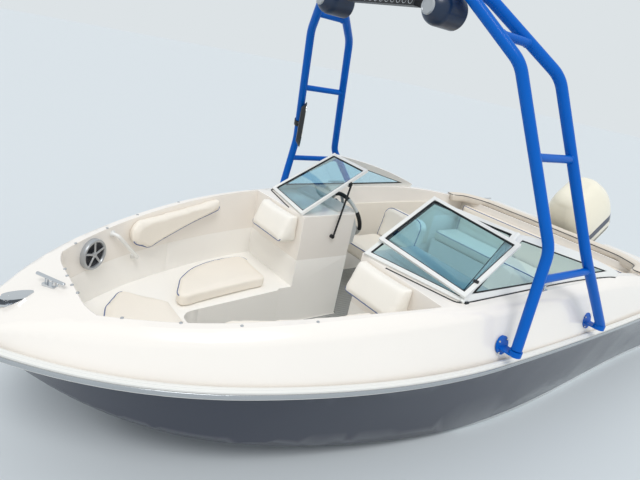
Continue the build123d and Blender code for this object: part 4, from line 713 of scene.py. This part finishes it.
def pad(name, solid, look, body, seat, rounding, cap):
    """A padded piece from a CAD solid, flat where it rests: the direction of what it rests on is its seat."""
    s = settings()
    scene = bpy.context.scene
    source = BVHTree.FromBMesh(solid)
    mesh = bpy.data.meshes.new(name)
    solid.to_mesh(mesh)
    obj = linked(name, mesh)
    remesh = obj.modifiers.new("even mesh", "REMESH")
    remesh.mode = "VOXEL"
    remesh.voxel_size = s.voxel
    bpy.context.view_layer.update()
    freeze(obj)
    bm = read(obj.data)
    ease(bm, rounding)
    bm.normal_update()
    for vert in bm.verts:
        vert.co -= vert.normal * cap * TAKEN_IN
    written(bm, obj.data)
    rest = [v.co.copy() for v in obj.data.vertices]
    cloth = obj.modifiers.new("foam", "CLOTH")
    for key, value in FOAM.items():
        setattr(cloth.settings, key, value)
    cloth.settings.effector_weights.gravity = 0.0
    cloth.point_cache.frame_start = 1
    cloth.point_cache.frame_end = FOAM_FRAMES
    for number in range(1, FOAM_FRAMES + 1):
        scene.frame_set(number)
    freeze(obj)
    scene.frame_set(1)
    for vert, start in zip(obj.data.vertices, rest):
        swelling = vert.co - start
        if swelling.length > cap:
            vert.co = start + swelling.normalized() * cap
    bm = read(obj.data)
    ease(bm, 3)
    written(bm, obj.data)
    for vert in obj.data.vertices:
        near, normal, _, _ = source.find_nearest(vert.co)
        out = (vert.co - near).dot(normal)
        allowed = 0.0 if normal.dot(seat) > 0.5 else PROUD
        if out > allowed:
            vert.co = vert.co - normal * (out - allowed)
    obj.data.materials.clear()
    obj.data.materials.append(MATERIALS[look])
    obj.data.polygons.foreach_set("use_smooth", [True] * len(obj.data.polygons))
    fine = obj.modifiers.new("fair", "SUBSURF")
    fine.levels = 1
    fine.render_levels = 1
    freeze(obj)
    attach(obj, body)
    return obj


def seam(obj, line):
    """Press a sewn seam into a pad along a line of points."""
    runs = list(zip(line, line[1:]))
    for vert in obj.data.vertices:
        nearest = 1.0
        for a, b in runs:
            span = b - a
            share = min(1.0, max(0.0, (vert.co - a).dot(span) / span.length_squared))
            nearest = min(nearest, (vert.co - a - span * share).length)
        if nearest < SEAM_WIDE * 2.5:
            vert.co -= vert.normal * SEAM_DEEP * math.exp(-(nearest / SEAM_WIDE) ** 2)


def pair(stem):
    """The names of a port piece and a starboard piece."""
    return [stem + "_port", stem + "_starboard"]


def upholster(node, names, look, facing, seat, piping="piping", rounding=5, seams=(),
              towards=None, share=0.5, cap=None):
    """Pads for the solids of a CAD node, with piping round the side that faces out, or along a part of it.

    The directions faced, rested on and piped towards are one for all pads, or a list with one for each.
    """
    parts = solids(node)

    def each(directions):
        return directions if isinstance(directions, list) else [directions] * len(parts)

    outlines = [fair(evenly(rim(part, side), OUTLINE_STEP), 3) for part, side in zip(parts, each(facing))]
    cap = settings().swell if cap is None else cap
    objs = [pad(name, part, look, BODY_OF[node], rest, rounding, cap)
            for name, part, rest in zip(names, parts, each(seat))]
    loops = []
    for obj, line, onward in zip(objs, outlines, each(towards)):
        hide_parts(node)
        for sewn in seams:
            seam(obj, [Vector(p) for p in sewn])
        loop = fair(hugged(fair(line, 2), tree_of(obj.data)), 3)
        loops.append(run_of(loop, onward, share) if onward else loop)
    tube(node + "_piping", loops, settings().piping_radius, piping, BODY_OF[node], closed=towards is None)


# Placing by the photograph


def photo_axes():
    """The camera's right, up and forward directions."""
    yaw, pitch, roll = (math.radians(a) for a in (CAMERA_YAW, CAMERA_PITCH, CAMERA_ROLL))
    ahead = Vector((math.cos(yaw) * math.cos(pitch), math.sin(yaw) * math.cos(pitch), math.sin(pitch)))
    right = Vector((math.sin(yaw), -math.cos(yaw), 0.0))
    up = right.cross(ahead)
    return right * math.cos(roll) + up * math.sin(roll), up * math.cos(roll) - right * math.sin(roll), ahead


def seen(pixel, tree):
    """The point and normal of a surface under a pixel of the photograph."""
    right, up, ahead = photo_axes()
    ray = (ahead + right * ((pixel[0] - FRAME_WIDE / 2) / FOCAL_PIXELS)
           - up * ((pixel[1] - FRAME_HIGH / 2) / FOCAL_PIXELS))
    return tree.ray_cast(Vector(CAMERA_AT), ray.normalized())[:2]


def mirrored(point):
    """A point carried to the other side of the boat."""
    return Vector((point.x, -point.y, point.z))


# Operators, one for each group of pieces


class SPEEDBOAT_OT_mouldings(bpy.types.Operator):
    """Hull, deck, liner, rail and matting"""
    bl_idname = "speedboat.mouldings"
    bl_label = "Mouldings"

    def execute(self, context):
        dressed("hull", "hull_gelcoat", angle=28.0)
        sheer = [(2, SHEER_JOINT), (0, LINER_JOINT_X)]
        dressed("deck", "gelcoat", bevel=0.014, angle=28.0, joints=sheer)
        # The liners' gelcoat is painted lighter than the deck's, as painted fill light in the wells
        for node in ("cockpit_tub", "bow_liner"):
            dressed(node, "liner", bevel=0.03, joints=sheer, fillet=(SEAT_TOP, 0.25))
        dressed("rub_rail", "rail", bevel=0.004)
        dressed("rub_rail_insert", "stainless", bevel=0.002)
        dressed("sole_mat", "matting", bevel=0.002)
        # The bench base takes the same gelcoat painted lighter than the deck's, as painted fill light
        dressed("bench_base", "liner", bevel=0.006)
        return {"FINISHED"}


class SPEEDBOAT_OT_bow_cushions(bpy.types.Operator):
    """Cushions and backrests of the bow well"""
    bl_idname = "speedboat.bow_cushions"
    bl_label = "Bow cushions"

    def execute(self, context):
        upholster("bow_seat_cushions", pair("bow_cushion"), "vinyl", UP, DOWN,
                  towards=[(0.55, 1, 0), (0.55, -1, 0)])
        upholster("bow_front_cushion", ["bow_cushion_front"], "vinyl", UP, DOWN, towards=AHEAD)
        upholster("bow_side_backrests", pair("bow_back"), "vinyl", [(-0.25, -1, 0), (-0.25, 1, 0)],
                  [Vector((0, 1, 0)), Vector((0, -1, 0))], rounding=3, towards=(-0.2, 0, -1), share=0.48)
        # The aft backrests take the vinyl painted lighter, as painted fill light
        upholster("bow_aft_backrests", pair("bow_aft_back"), "vinyl_painted_lighter", (1, 0, 0.35), ASTERN, rounding=6,
                  towards=DOWN, share=0.4, cap=LONG_PAD_CAP)
        return {"FINISHED"}


class SPEEDBOAT_OT_cockpit_seats(bpy.types.Operator):
    """Cockpit seats, after bench, side panels and stern bolster"""
    bl_idname = "speedboat.cockpit_seats"
    bl_label = "Cockpit seats"

    def execute(self, context):
        upholster("seat_cushions", pair("seat_cushion"), "vinyl", UP, DOWN)
        low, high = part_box("seat_backs")
        lines = [[(high.x + 0.02, y, low.z), (high.x - 0.06, y, high.z + 0.02)]
                 for y in (-SEAT_OUT, SEAT_OUT)]
        # The seat backs take the vinyl painted lighter, as painted fill light
        upholster("seat_backs", pair("seat_back"), "vinyl_painted_lighter", (1, 0, 0.1), DOWN, seams=lines)
        upholster("bench_cushion", ["bench_cushion_pad"], "vinyl", UP, DOWN)
        upholster("bench_back", ["bench_back_pad"], "vinyl", AHEAD, ASTERN)
        upholster("stern_bolster", ["stern_bolster_pad"], "vinyl_tan", UP, DOWN, piping="piping_dark",
                  rounding=2, cap=LONG_PAD_CAP)
        dressed("side_panels", "vinyl", bevel=0.003)
        dressed("seat_pedestals", "stainless", bevel=0.003)
        return {"FINISHED"}


class SPEEDBOAT_OT_windshield(bpy.types.Operator):
    """Windshield frames, glass, gaskets and latches"""
    bl_idname = "speedboat.windshield"
    bl_label = "Windshield"

    def gaskets(self, node):
        loops = []
        for pane in solids(node):
            bmesh.ops.dissolve_limit(pane, angle_limit=math.radians(2.0), verts=pane.verts, edges=pane.edges)
            pane.normal_update()
            outward = max(pane.faces, key=lambda f: f.calc_area()).normal.copy()
            for normal in (outward, -outward):
                side = [f for f in pane.faces if f.normal.dot(normal) > 0.99]
                bmesh.ops.inset_region(pane, faces=side, thickness=GASKET_INSET, use_boundary=True,
                                       use_even_offset=True)
                edges = [e for e in pane.edges if sum(f in side for f in e.link_faces) == 1]
                loops.append(evenly([p + normal * GASKET_UP for p in chain(edges)[0]], 0.03))
            pane.free()
        tube(node + "_gaskets", loops, BEAD, "rubber", BODY_OF[node])

    def latches(self, node, pixels):
        tree = node_tree(node)
        shapes = []
        for pixel in pixels:
            point, normal = seen(pixel, tree)
            if point is not None:
                shapes.append(block(aimed(point + normal * 0.004, normal), (0.03, 0.016, 0.012), 0.003))
        if shapes:
            finished(node + "_latches", merged(shapes), "abs_black", BODY_OF[node])

    def sealant(self):
        """A bead of sealant where the outer faces of the frames meet the deck."""
        deck = node_tree("deck")
        line = []
        for start, end, head in ((SCREEN_FOOT_IN, SCREEN_CORNER, SCREEN_HEAD_IN),
                                 (SCREEN_CORNER, SCREEN_TIP, SCREEN_HEAD_OUT)):
            normal = (end - start).cross(head - start).normalized()
            if normal.z < 0:
                normal = -normal
            down = (DOWN + normal * normal.z).normalized()
            for i in range(SEALANT_STEPS):
                above = start.lerp(end, (i + 0.5) / SEALANT_STEPS) + normal * SCREEN_FRAME / 2 - down * 0.05
                point, up, _, reach = deck.ray_cast(above, down)
                if point is not None and reach < SEALANT_REACH:
                    line.append(point + up * 0.001)
        line = fair(evenly(line, 0.02, closed=False), 2, closed=False)
        tube("screen_sealant", [line, [mirrored(p) for p in line]], BEAD, "rubber", "boat", closed=False)

    def execute(self, context):
        for node in ("screen_frames", "window_frame"):
            dressed(node, "white_coat", bevel=0.002)
        for node in ("screen_glass", "window_glass"):
            paint(node, "acrylic")
            self.gaskets(node)
        dressed("screen_stay", "abs_black", bevel=0.001)
        self.sealant()
        self.latches("screen_frames", LATCH_PIXELS)
        self.latches("window_frame", WINDOW_LATCH_PIXELS)
        return {"FINISHED"}


class SPEEDBOAT_OT_tower(bpy.types.Operator):
    """Tower tubes, feet, welds, lamp bar and mirror"""
    bl_idname = "speedboat.tower"
    bl_label = "Tower"

    def execute(self, context):
        for node in ("tower_front_hoop", "tower_rear_hoop", "tower_rungs"):
            dressed(node, "tower_paint")
        dressed("tower_feet", "tower_paint", bevel=0.003)
        dressed("light_bar", "abs_black", bevel=0.003)
        dressed("mirror", "abs_black", bevel=0.004)
        paint("mirror_glass", "mirror")
        welds = []
        for rung in solids("tower_rungs"):
            centre = sum((v.co for v in rung.verts), Vector()) / len(rung.verts)
            far = max((v.co for v in rung.verts), key=lambda p: (p - centre).length)
            axis = max(((v.co - far) for v in rung.verts), key=lambda d: d.length).normalized()
            for side in (-1, 1):
                tips = [v.co for v in rung.verts if (v.co - centre).dot(axis) * side > 0]
                middle = sum(tips, Vector()) / len(tips)
                welds.append(turned(WELD, aimed(middle, axis * side), 24))
            rung.free()
        finished("tower_welds", merged(welds), "tower_paint", "boat", 60.0)
        self.lamps()
        self.foot_bolts()
        return {"FINISHED"}

    def lamps(self):
        low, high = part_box("light_bar")
        middle = (low.z + min(high.z, low.z + LAMP_BAR_HIGH)) / 2
        cups = []
        for row in (-1, 1):
            for i in range(LAMP_COUNT):
                y = low.y + LAMP_MARGIN + i * (high.y - low.y - 2 * LAMP_MARGIN) / (LAMP_COUNT - 1)
                cups.append(turned(LAMP_CUP, aimed((high.x - 0.002, y, middle + row * LAMP_ROW), AHEAD), 14))
        finished("light_bar_cups", merged(cups), "chrome", "boat", 50.0)

    def foot_bolts(self):
        bolts = []
        for foot in solids("tower_feet"):
            side = 1.0 if sum(v.co.y for v in foot.verts) > 0 else -1.0
            inner = min(v.co.y * side for v in foot.verts) * side
            xs = [v.co.x for v in foot.verts if abs(v.co.y - inner) < FOOT_INNER]
            x = sum(xs) / len(xs)
            tree = BVHTree.FromBMesh(foot)
            for dx, dz in FOOT_BOLTS:
                hit = tree.ray_cast(Vector((x + dx, side * 1.6, FOOT_Z + dz)), Vector((0, -side, 0)))
                if hit[0] is not None:
                    bolts.append(turned(BOLT_HEAD, aimed(hit[0], hit[1]), 6))
            foot.free()
        finished("foot_bolts", merged(bolts), "stainless", "boat", 30.0)


class SPEEDBOAT_OT_speakers(bpy.types.Operator):
    """Bow speakers and the tower's speaker pods"""
    bl_idname = "speedboat.speakers"
    bl_label = "Speakers"

    def bow(self):
        for number, part in enumerate(solids("bow_speakers")):
            side = 1.0 if number == 0 else -1.0
            tree = BVHTree.FromBMesh(part)
            low = Vector((min(v.co[i] for v in part.verts) for i in range(3)))
            high = Vector((max(v.co[i] for v in part.verts) for i in range(3)))
            centre = (low + high) / 2
            inward = Vector((SPEAKER_TURN, -side, 0.0)).normalized()
            hits = [tree.ray_cast(centre + UP * dz + inward * 0.3, -inward)
                    for dz in (RING_TRACE, -RING_TRACE)]
            face = sum(((h[0] - centre).dot(inward) for h in hits), 0.0) / 2
            base = aimed(centre + inward * (face - SPEAKER_SEAT), hits[0][1])
            name = "bow_speaker_" + ("port" if side > 0 else "starboard")
            finished(name + "_ring", turned(SPEAKER_RING, base, 56), "silver", "boat")
            cone = finished(name + "_cone", turned(SPEAKER_CONE, base, 48), "cone", "boat")
            spokes = [turned(SPEAKER_HUB, base, 24)]
            for i in range(5):
                arm = base @ turn_z(72 * i + 90) @ moved(0.044, 0, 0.0105)
                spokes.append(block(arm, (0.062, 0.0125, 0.006), 0.002))
            grille = finished(name + "_spokes", merged(spokes), "silver", "boat", 50.0)
            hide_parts("bow_speakers")
            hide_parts("bow_speakers")
            part.free()

    def execute(self, context):
        self.bow()
        dressed("speaker_pods", "navy_shell", bevel=0.002)
        dressed("speaker_rings", "pewter", bevel=0.001)
        pods = solids("speaker_pods")
        for side, pod in (("starboard", pods[-1]), ("port", pods[0])):
            front = max(v.co.x for v in pod.verts)
            ys = [v.co.y for v in pod.verts]
            z = min(v.co.z for v in pod.verts) + POD_MIDDLE
            centre = Vector((front, (min(ys) + max(ys)) / 2, z))
            back = Vector((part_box("speaker_rings")[0].x + 0.003, centre.y, z))
            finished(f"pod_{side}_badge", turned(POD_BADGE, aimed(centre, AHEAD), 40), "silver", "boat", 50.0)
            finished(f"pod_{side}_cone", turned(POD_CONE, aimed(back, ASTERN), 40), "cone", "boat")
        for pod in pods:
            pod.free()
        return {"FINISHED"}


class SPEEDBOAT_OT_fittings(bpy.types.Operator):
    """Cleats, handles, bow light, bow eye and snap fasteners"""
    bl_idname = "speedboat.fittings"
    bl_label = "Deck fittings"

    def execute(self, context):
        dressed("cleats", "chrome", bevel=0.001)
        dressed("bow_eye", "stainless")
        dressed("bow_handles", "abs_white")
        dressed("bow_light", "chrome", bevel=0.004)
        tree = node_tree("deck")
        snaps = []
        for pixel in SNAP_PIXELS:
            point, normal = seen(pixel, tree)
            if point is None:
                continue
            for at, up in ((point, normal), (mirrored(point), mirrored(normal))):
                snaps.append(turned(SNAP, aimed(at, up), 12))
        finished("snap_fasteners", merged(snaps), "silver", "boat", 60.0)
        low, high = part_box("bow_light")
        place = moved(((low + high) / 2).x, 0.0, low.z + 0.018) @ Matrix.Diagonal((1.0, 0.46, 1.0, 1.0))
        finished("bow_light_lens", turned(BOW_LENS, place, 48), "lens", "boat", 50.0)
        return {"FINISHED"}


class SPEEDBOAT_OT_helm(bpy.types.Operator):
    """Helm pod with its gauges, port dash, wheel and column"""
    bl_idname = "speedboat.helm"
    bl_label = "Helm"

    def execute(self, context):
        dressed("helm_dash", "abs_grey", bevel=0.008)
        dressed("port_dash", "abs_grey", bevel=0.008)
        dressed("steering_column", "abs_black")
        dressed("steering_wheel", "abs_grey")
        tree = node_tree("helm_dash")
        rims, faces, marks = [], [], []
        for y, z, r in GAUGES:
            hit = tree.ray_cast(Vector((GAUGE_RAY_X, y, z)), AHEAD)
            if hit[0] is None:
                continue
            place = aimed(hit[0], hit[1])
            bezel = [(r * 0.86, 0.001), (r * 0.9, 0.006), (r, 0.005), (r * 1.04, 0.0), (r * 1.04, -0.004)]
            rims.append(turned(bezel, place, 36))
            faces.append(turned([(0.0, 0.002), (r * 0.88, 0.002)], place, 36))
            for i in range(9):
                mark = place @ turn_z(30 * i - 120) @ moved(0, r * 0.7, 0.0028)
                marks.append(block(mark, (0.0016, r * 0.2, 0.0008)))
            marks.append(block(place @ NEEDLE_TURN @ moved(0, r * 0.25, 0.0034), (0.0018, r * 0.7, 0.0008)))
        finished("gauge_bezels", merged(rims), "chrome", "boat")
        finished("gauge_faces", merged(faces), "gauge", "boat")
        finished("gauge_marks", merged(marks), "abs_white", "boat")
        self.grips()
        return {"FINISHED"}

    def grips(self):
        wheel = aimed(WHEEL_CENTRE, WHEEL_FACING)
        loops = []
        for middle in (0, 90, 180, 270):
            arc = [math.radians(middle - GRIP_ARC + 2 * GRIP_ARC * i / GRIP_STEPS)
                   for i in range(GRIP_STEPS + 1)]
            loops.append([wheel @ Vector((GRIP_RING * math.cos(a), GRIP_RING * math.sin(a), 0)) for a in arc])
        tube("wheel_grips", loops, GRIP_THICK, "grip", "wheel", closed=False, sides=5)
        finished("wheel_boss", turned(WHEEL_BOSS, wheel), "abs_black", "wheel")


class SPEEDBOAT_OT_motor(bpy.types.Operator):
    """Outboard motor with its seam, latch, anode and propeller"""
    bl_idname = "speedboat.motor"
    bl_label = "Outboard motor"

    def execute(self, context):
        dressed("motor_cowl", "cowl_paint", angle=40.0)
        dressed("motor_pan", "motor_paint", bevel=0.002, angle=40.0)
        dressed("motor_leg", "motor_paint", bevel=0.003)
        dressed("gearcase", "motor_paint")
        dressed("motor_swivel", "motor_dark", bevel=0.003)
        dressed("motor_clamp", "motor_dark", bevel=0.003)
        dressed("propeller", "prop_paint")
        paint("powerhead", "iron")
        self.seam()
        self.small_parts()
        return {"FINISHED"}

    def seam(self):
        cowl = solids("motor_cowl")[0]
        edges = [e for e in cowl.edges
                 if all(abs((v.co - TILT_TUBE).dot(MOTOR_UP) - COWL_SEAM) < 0.004 for v in e.verts)]
        tube("cowl_gasket", [fair(evenly(chain(edges)[0], 0.02), 1)], BEAD, "rubber", "motor")
        cowl.free()

    def small_parts(self):
        turn = Matrix.Translation(TILT_TUBE) @ Matrix.Rotation(MOTOR_TILT, 4, "Y")

        def small(at, size, rounding):
            return block(turn @ moved(*at), size, rounding)

        place = turn @ moved(*NUT_AT) @ Matrix.Rotation(math.radians(-90), 4, "Y")
        nut = [turned(SHAFT_END, place, 16), turned(PROPELLER_NUT, place, 6)]
        finished("propeller_nut", merged(nut), "stainless", "propeller", 30.0)
        finished("anode", small(*ANODE), "zinc", "motor")
        finished("cowl_latch", merged([small(*LATCH_PLATE), small(*LATCH_GRIP)]), "abs_black", "motor")


class SPEEDBOAT_OT_stage(bpy.types.Operator):
    """Floor at the waterline, soft light and the photograph's camera"""
    bl_idname = "speedboat.stage"
    bl_label = "Stage"

    def execute(self, context):
        scene = context.scene
        made, _, shader, _ = blank("studio-floor")
        put(shader, {"Base Color": linear("#d3d9dc"), "Roughness": 0.7})
        floor_bm = bmesh.new()
        bmesh.ops.create_grid(floor_bm, x_segments=1, y_segments=1, size=FLOOR_HALF)
        mesh = written(floor_bm, bpy.data.meshes.new("floor"))
        mesh.materials.append(made)
        linked("floor", mesh)
        world = bpy.data.worlds.new("studio")
        scene.world = world
        world.use_nodes = True
        sky = world.node_tree
        sky.nodes.clear()
        rays = add(sky, "LightPath")
        shown = rays.outputs["Is Camera Ray"]
        for kind in ("Is Glossy Ray", "Is Transmission Ray"):
            shown = add(sky, "Math", {0: shown, 1: rays.outputs[kind]}, operation="MAXIMUM").outputs[0]
        lit = add(sky, "Background", {"Color": linear("#edf1f5"), "Strength": 0.9})
        back = add(sky, "Background", {"Color": linear("#dde3e6"), "Strength": 1.0})
        both = add(sky, "MixShader", {0: shown, 1: lit.outputs[0], 2: back.outputs[0]})
        add(sky, "OutputWorld", {"Surface": both.outputs[0]})
        sun = bpy.data.lights.new("key", "SUN")
        sun.energy = SUN_POWER
        sun.angle = SUN_SIZE
        linked("key", sun).matrix_world = aimed((0, 0, 0), SUN_FROM)
        right, up, ahead = photo_axes()
        camera = bpy.data.cameras.new("camera")
        camera.sensor_fit = "HORIZONTAL"
        camera.sensor_width = SENSOR_WIDE
        camera.lens = SENSOR_WIDE * FOCAL_PIXELS / FRAME_WIDE
        obj = linked("camera", camera)
        obj.matrix_world = moved(*CAMERA_AT) @ Matrix((right, up, -ahead)).transposed().to_4x4()
        scene.camera = obj
        scene.view_settings.view_transform = "Standard"
        return {"FINISHED"}


GROUPS = [
    SPEEDBOAT_OT_mouldings,
    SPEEDBOAT_OT_bow_cushions,
    SPEEDBOAT_OT_cockpit_seats,
    SPEEDBOAT_OT_windshield,
    SPEEDBOAT_OT_tower,
    SPEEDBOAT_OT_speakers,
    SPEEDBOAT_OT_fittings,
    SPEEDBOAT_OT_helm,
    SPEEDBOAT_OT_motor,
    SPEEDBOAT_OT_stage,
]


class SPEEDBOAT_PT_panel(bpy.types.Panel):
    """The boat's groups of pieces and its settings"""
    bl_label = "Speedboat"
    bl_idname = "SPEEDBOAT_PT_panel"
    bl_space_type = "VIEW_3D"
    bl_region_type = "UI"
    bl_category = "Speedboat"

    def draw(self, context):
        for name in Finish.__annotations__:
            self.layout.prop(context.scene.speedboat, name)
        for group in GROUPS:
            self.layout.operator(group.bl_idname)


CLASSES = [Finish, *GROUPS, SPEEDBOAT_PT_panel]


def register():
    """Register the add-on's classes and settings."""
    for each in CLASSES:
        bpy.utils.register_class(each)
    bpy.types.Scene.speedboat = bpy.props.PointerProperty(type=Finish)


def unregister():
    """Remove the add-on's classes and settings."""
    del bpy.types.Scene.speedboat
    for each in reversed(CLASSES):
        bpy.utils.unregister_class(each)


def main():
    """Build every group."""
    register()
    make_materials()
    for group in GROUPS:
        family, name = group.bl_idname.split(".")
        getattr(getattr(bpy.ops, family), name)()


if __name__ == "__main__":
    main()
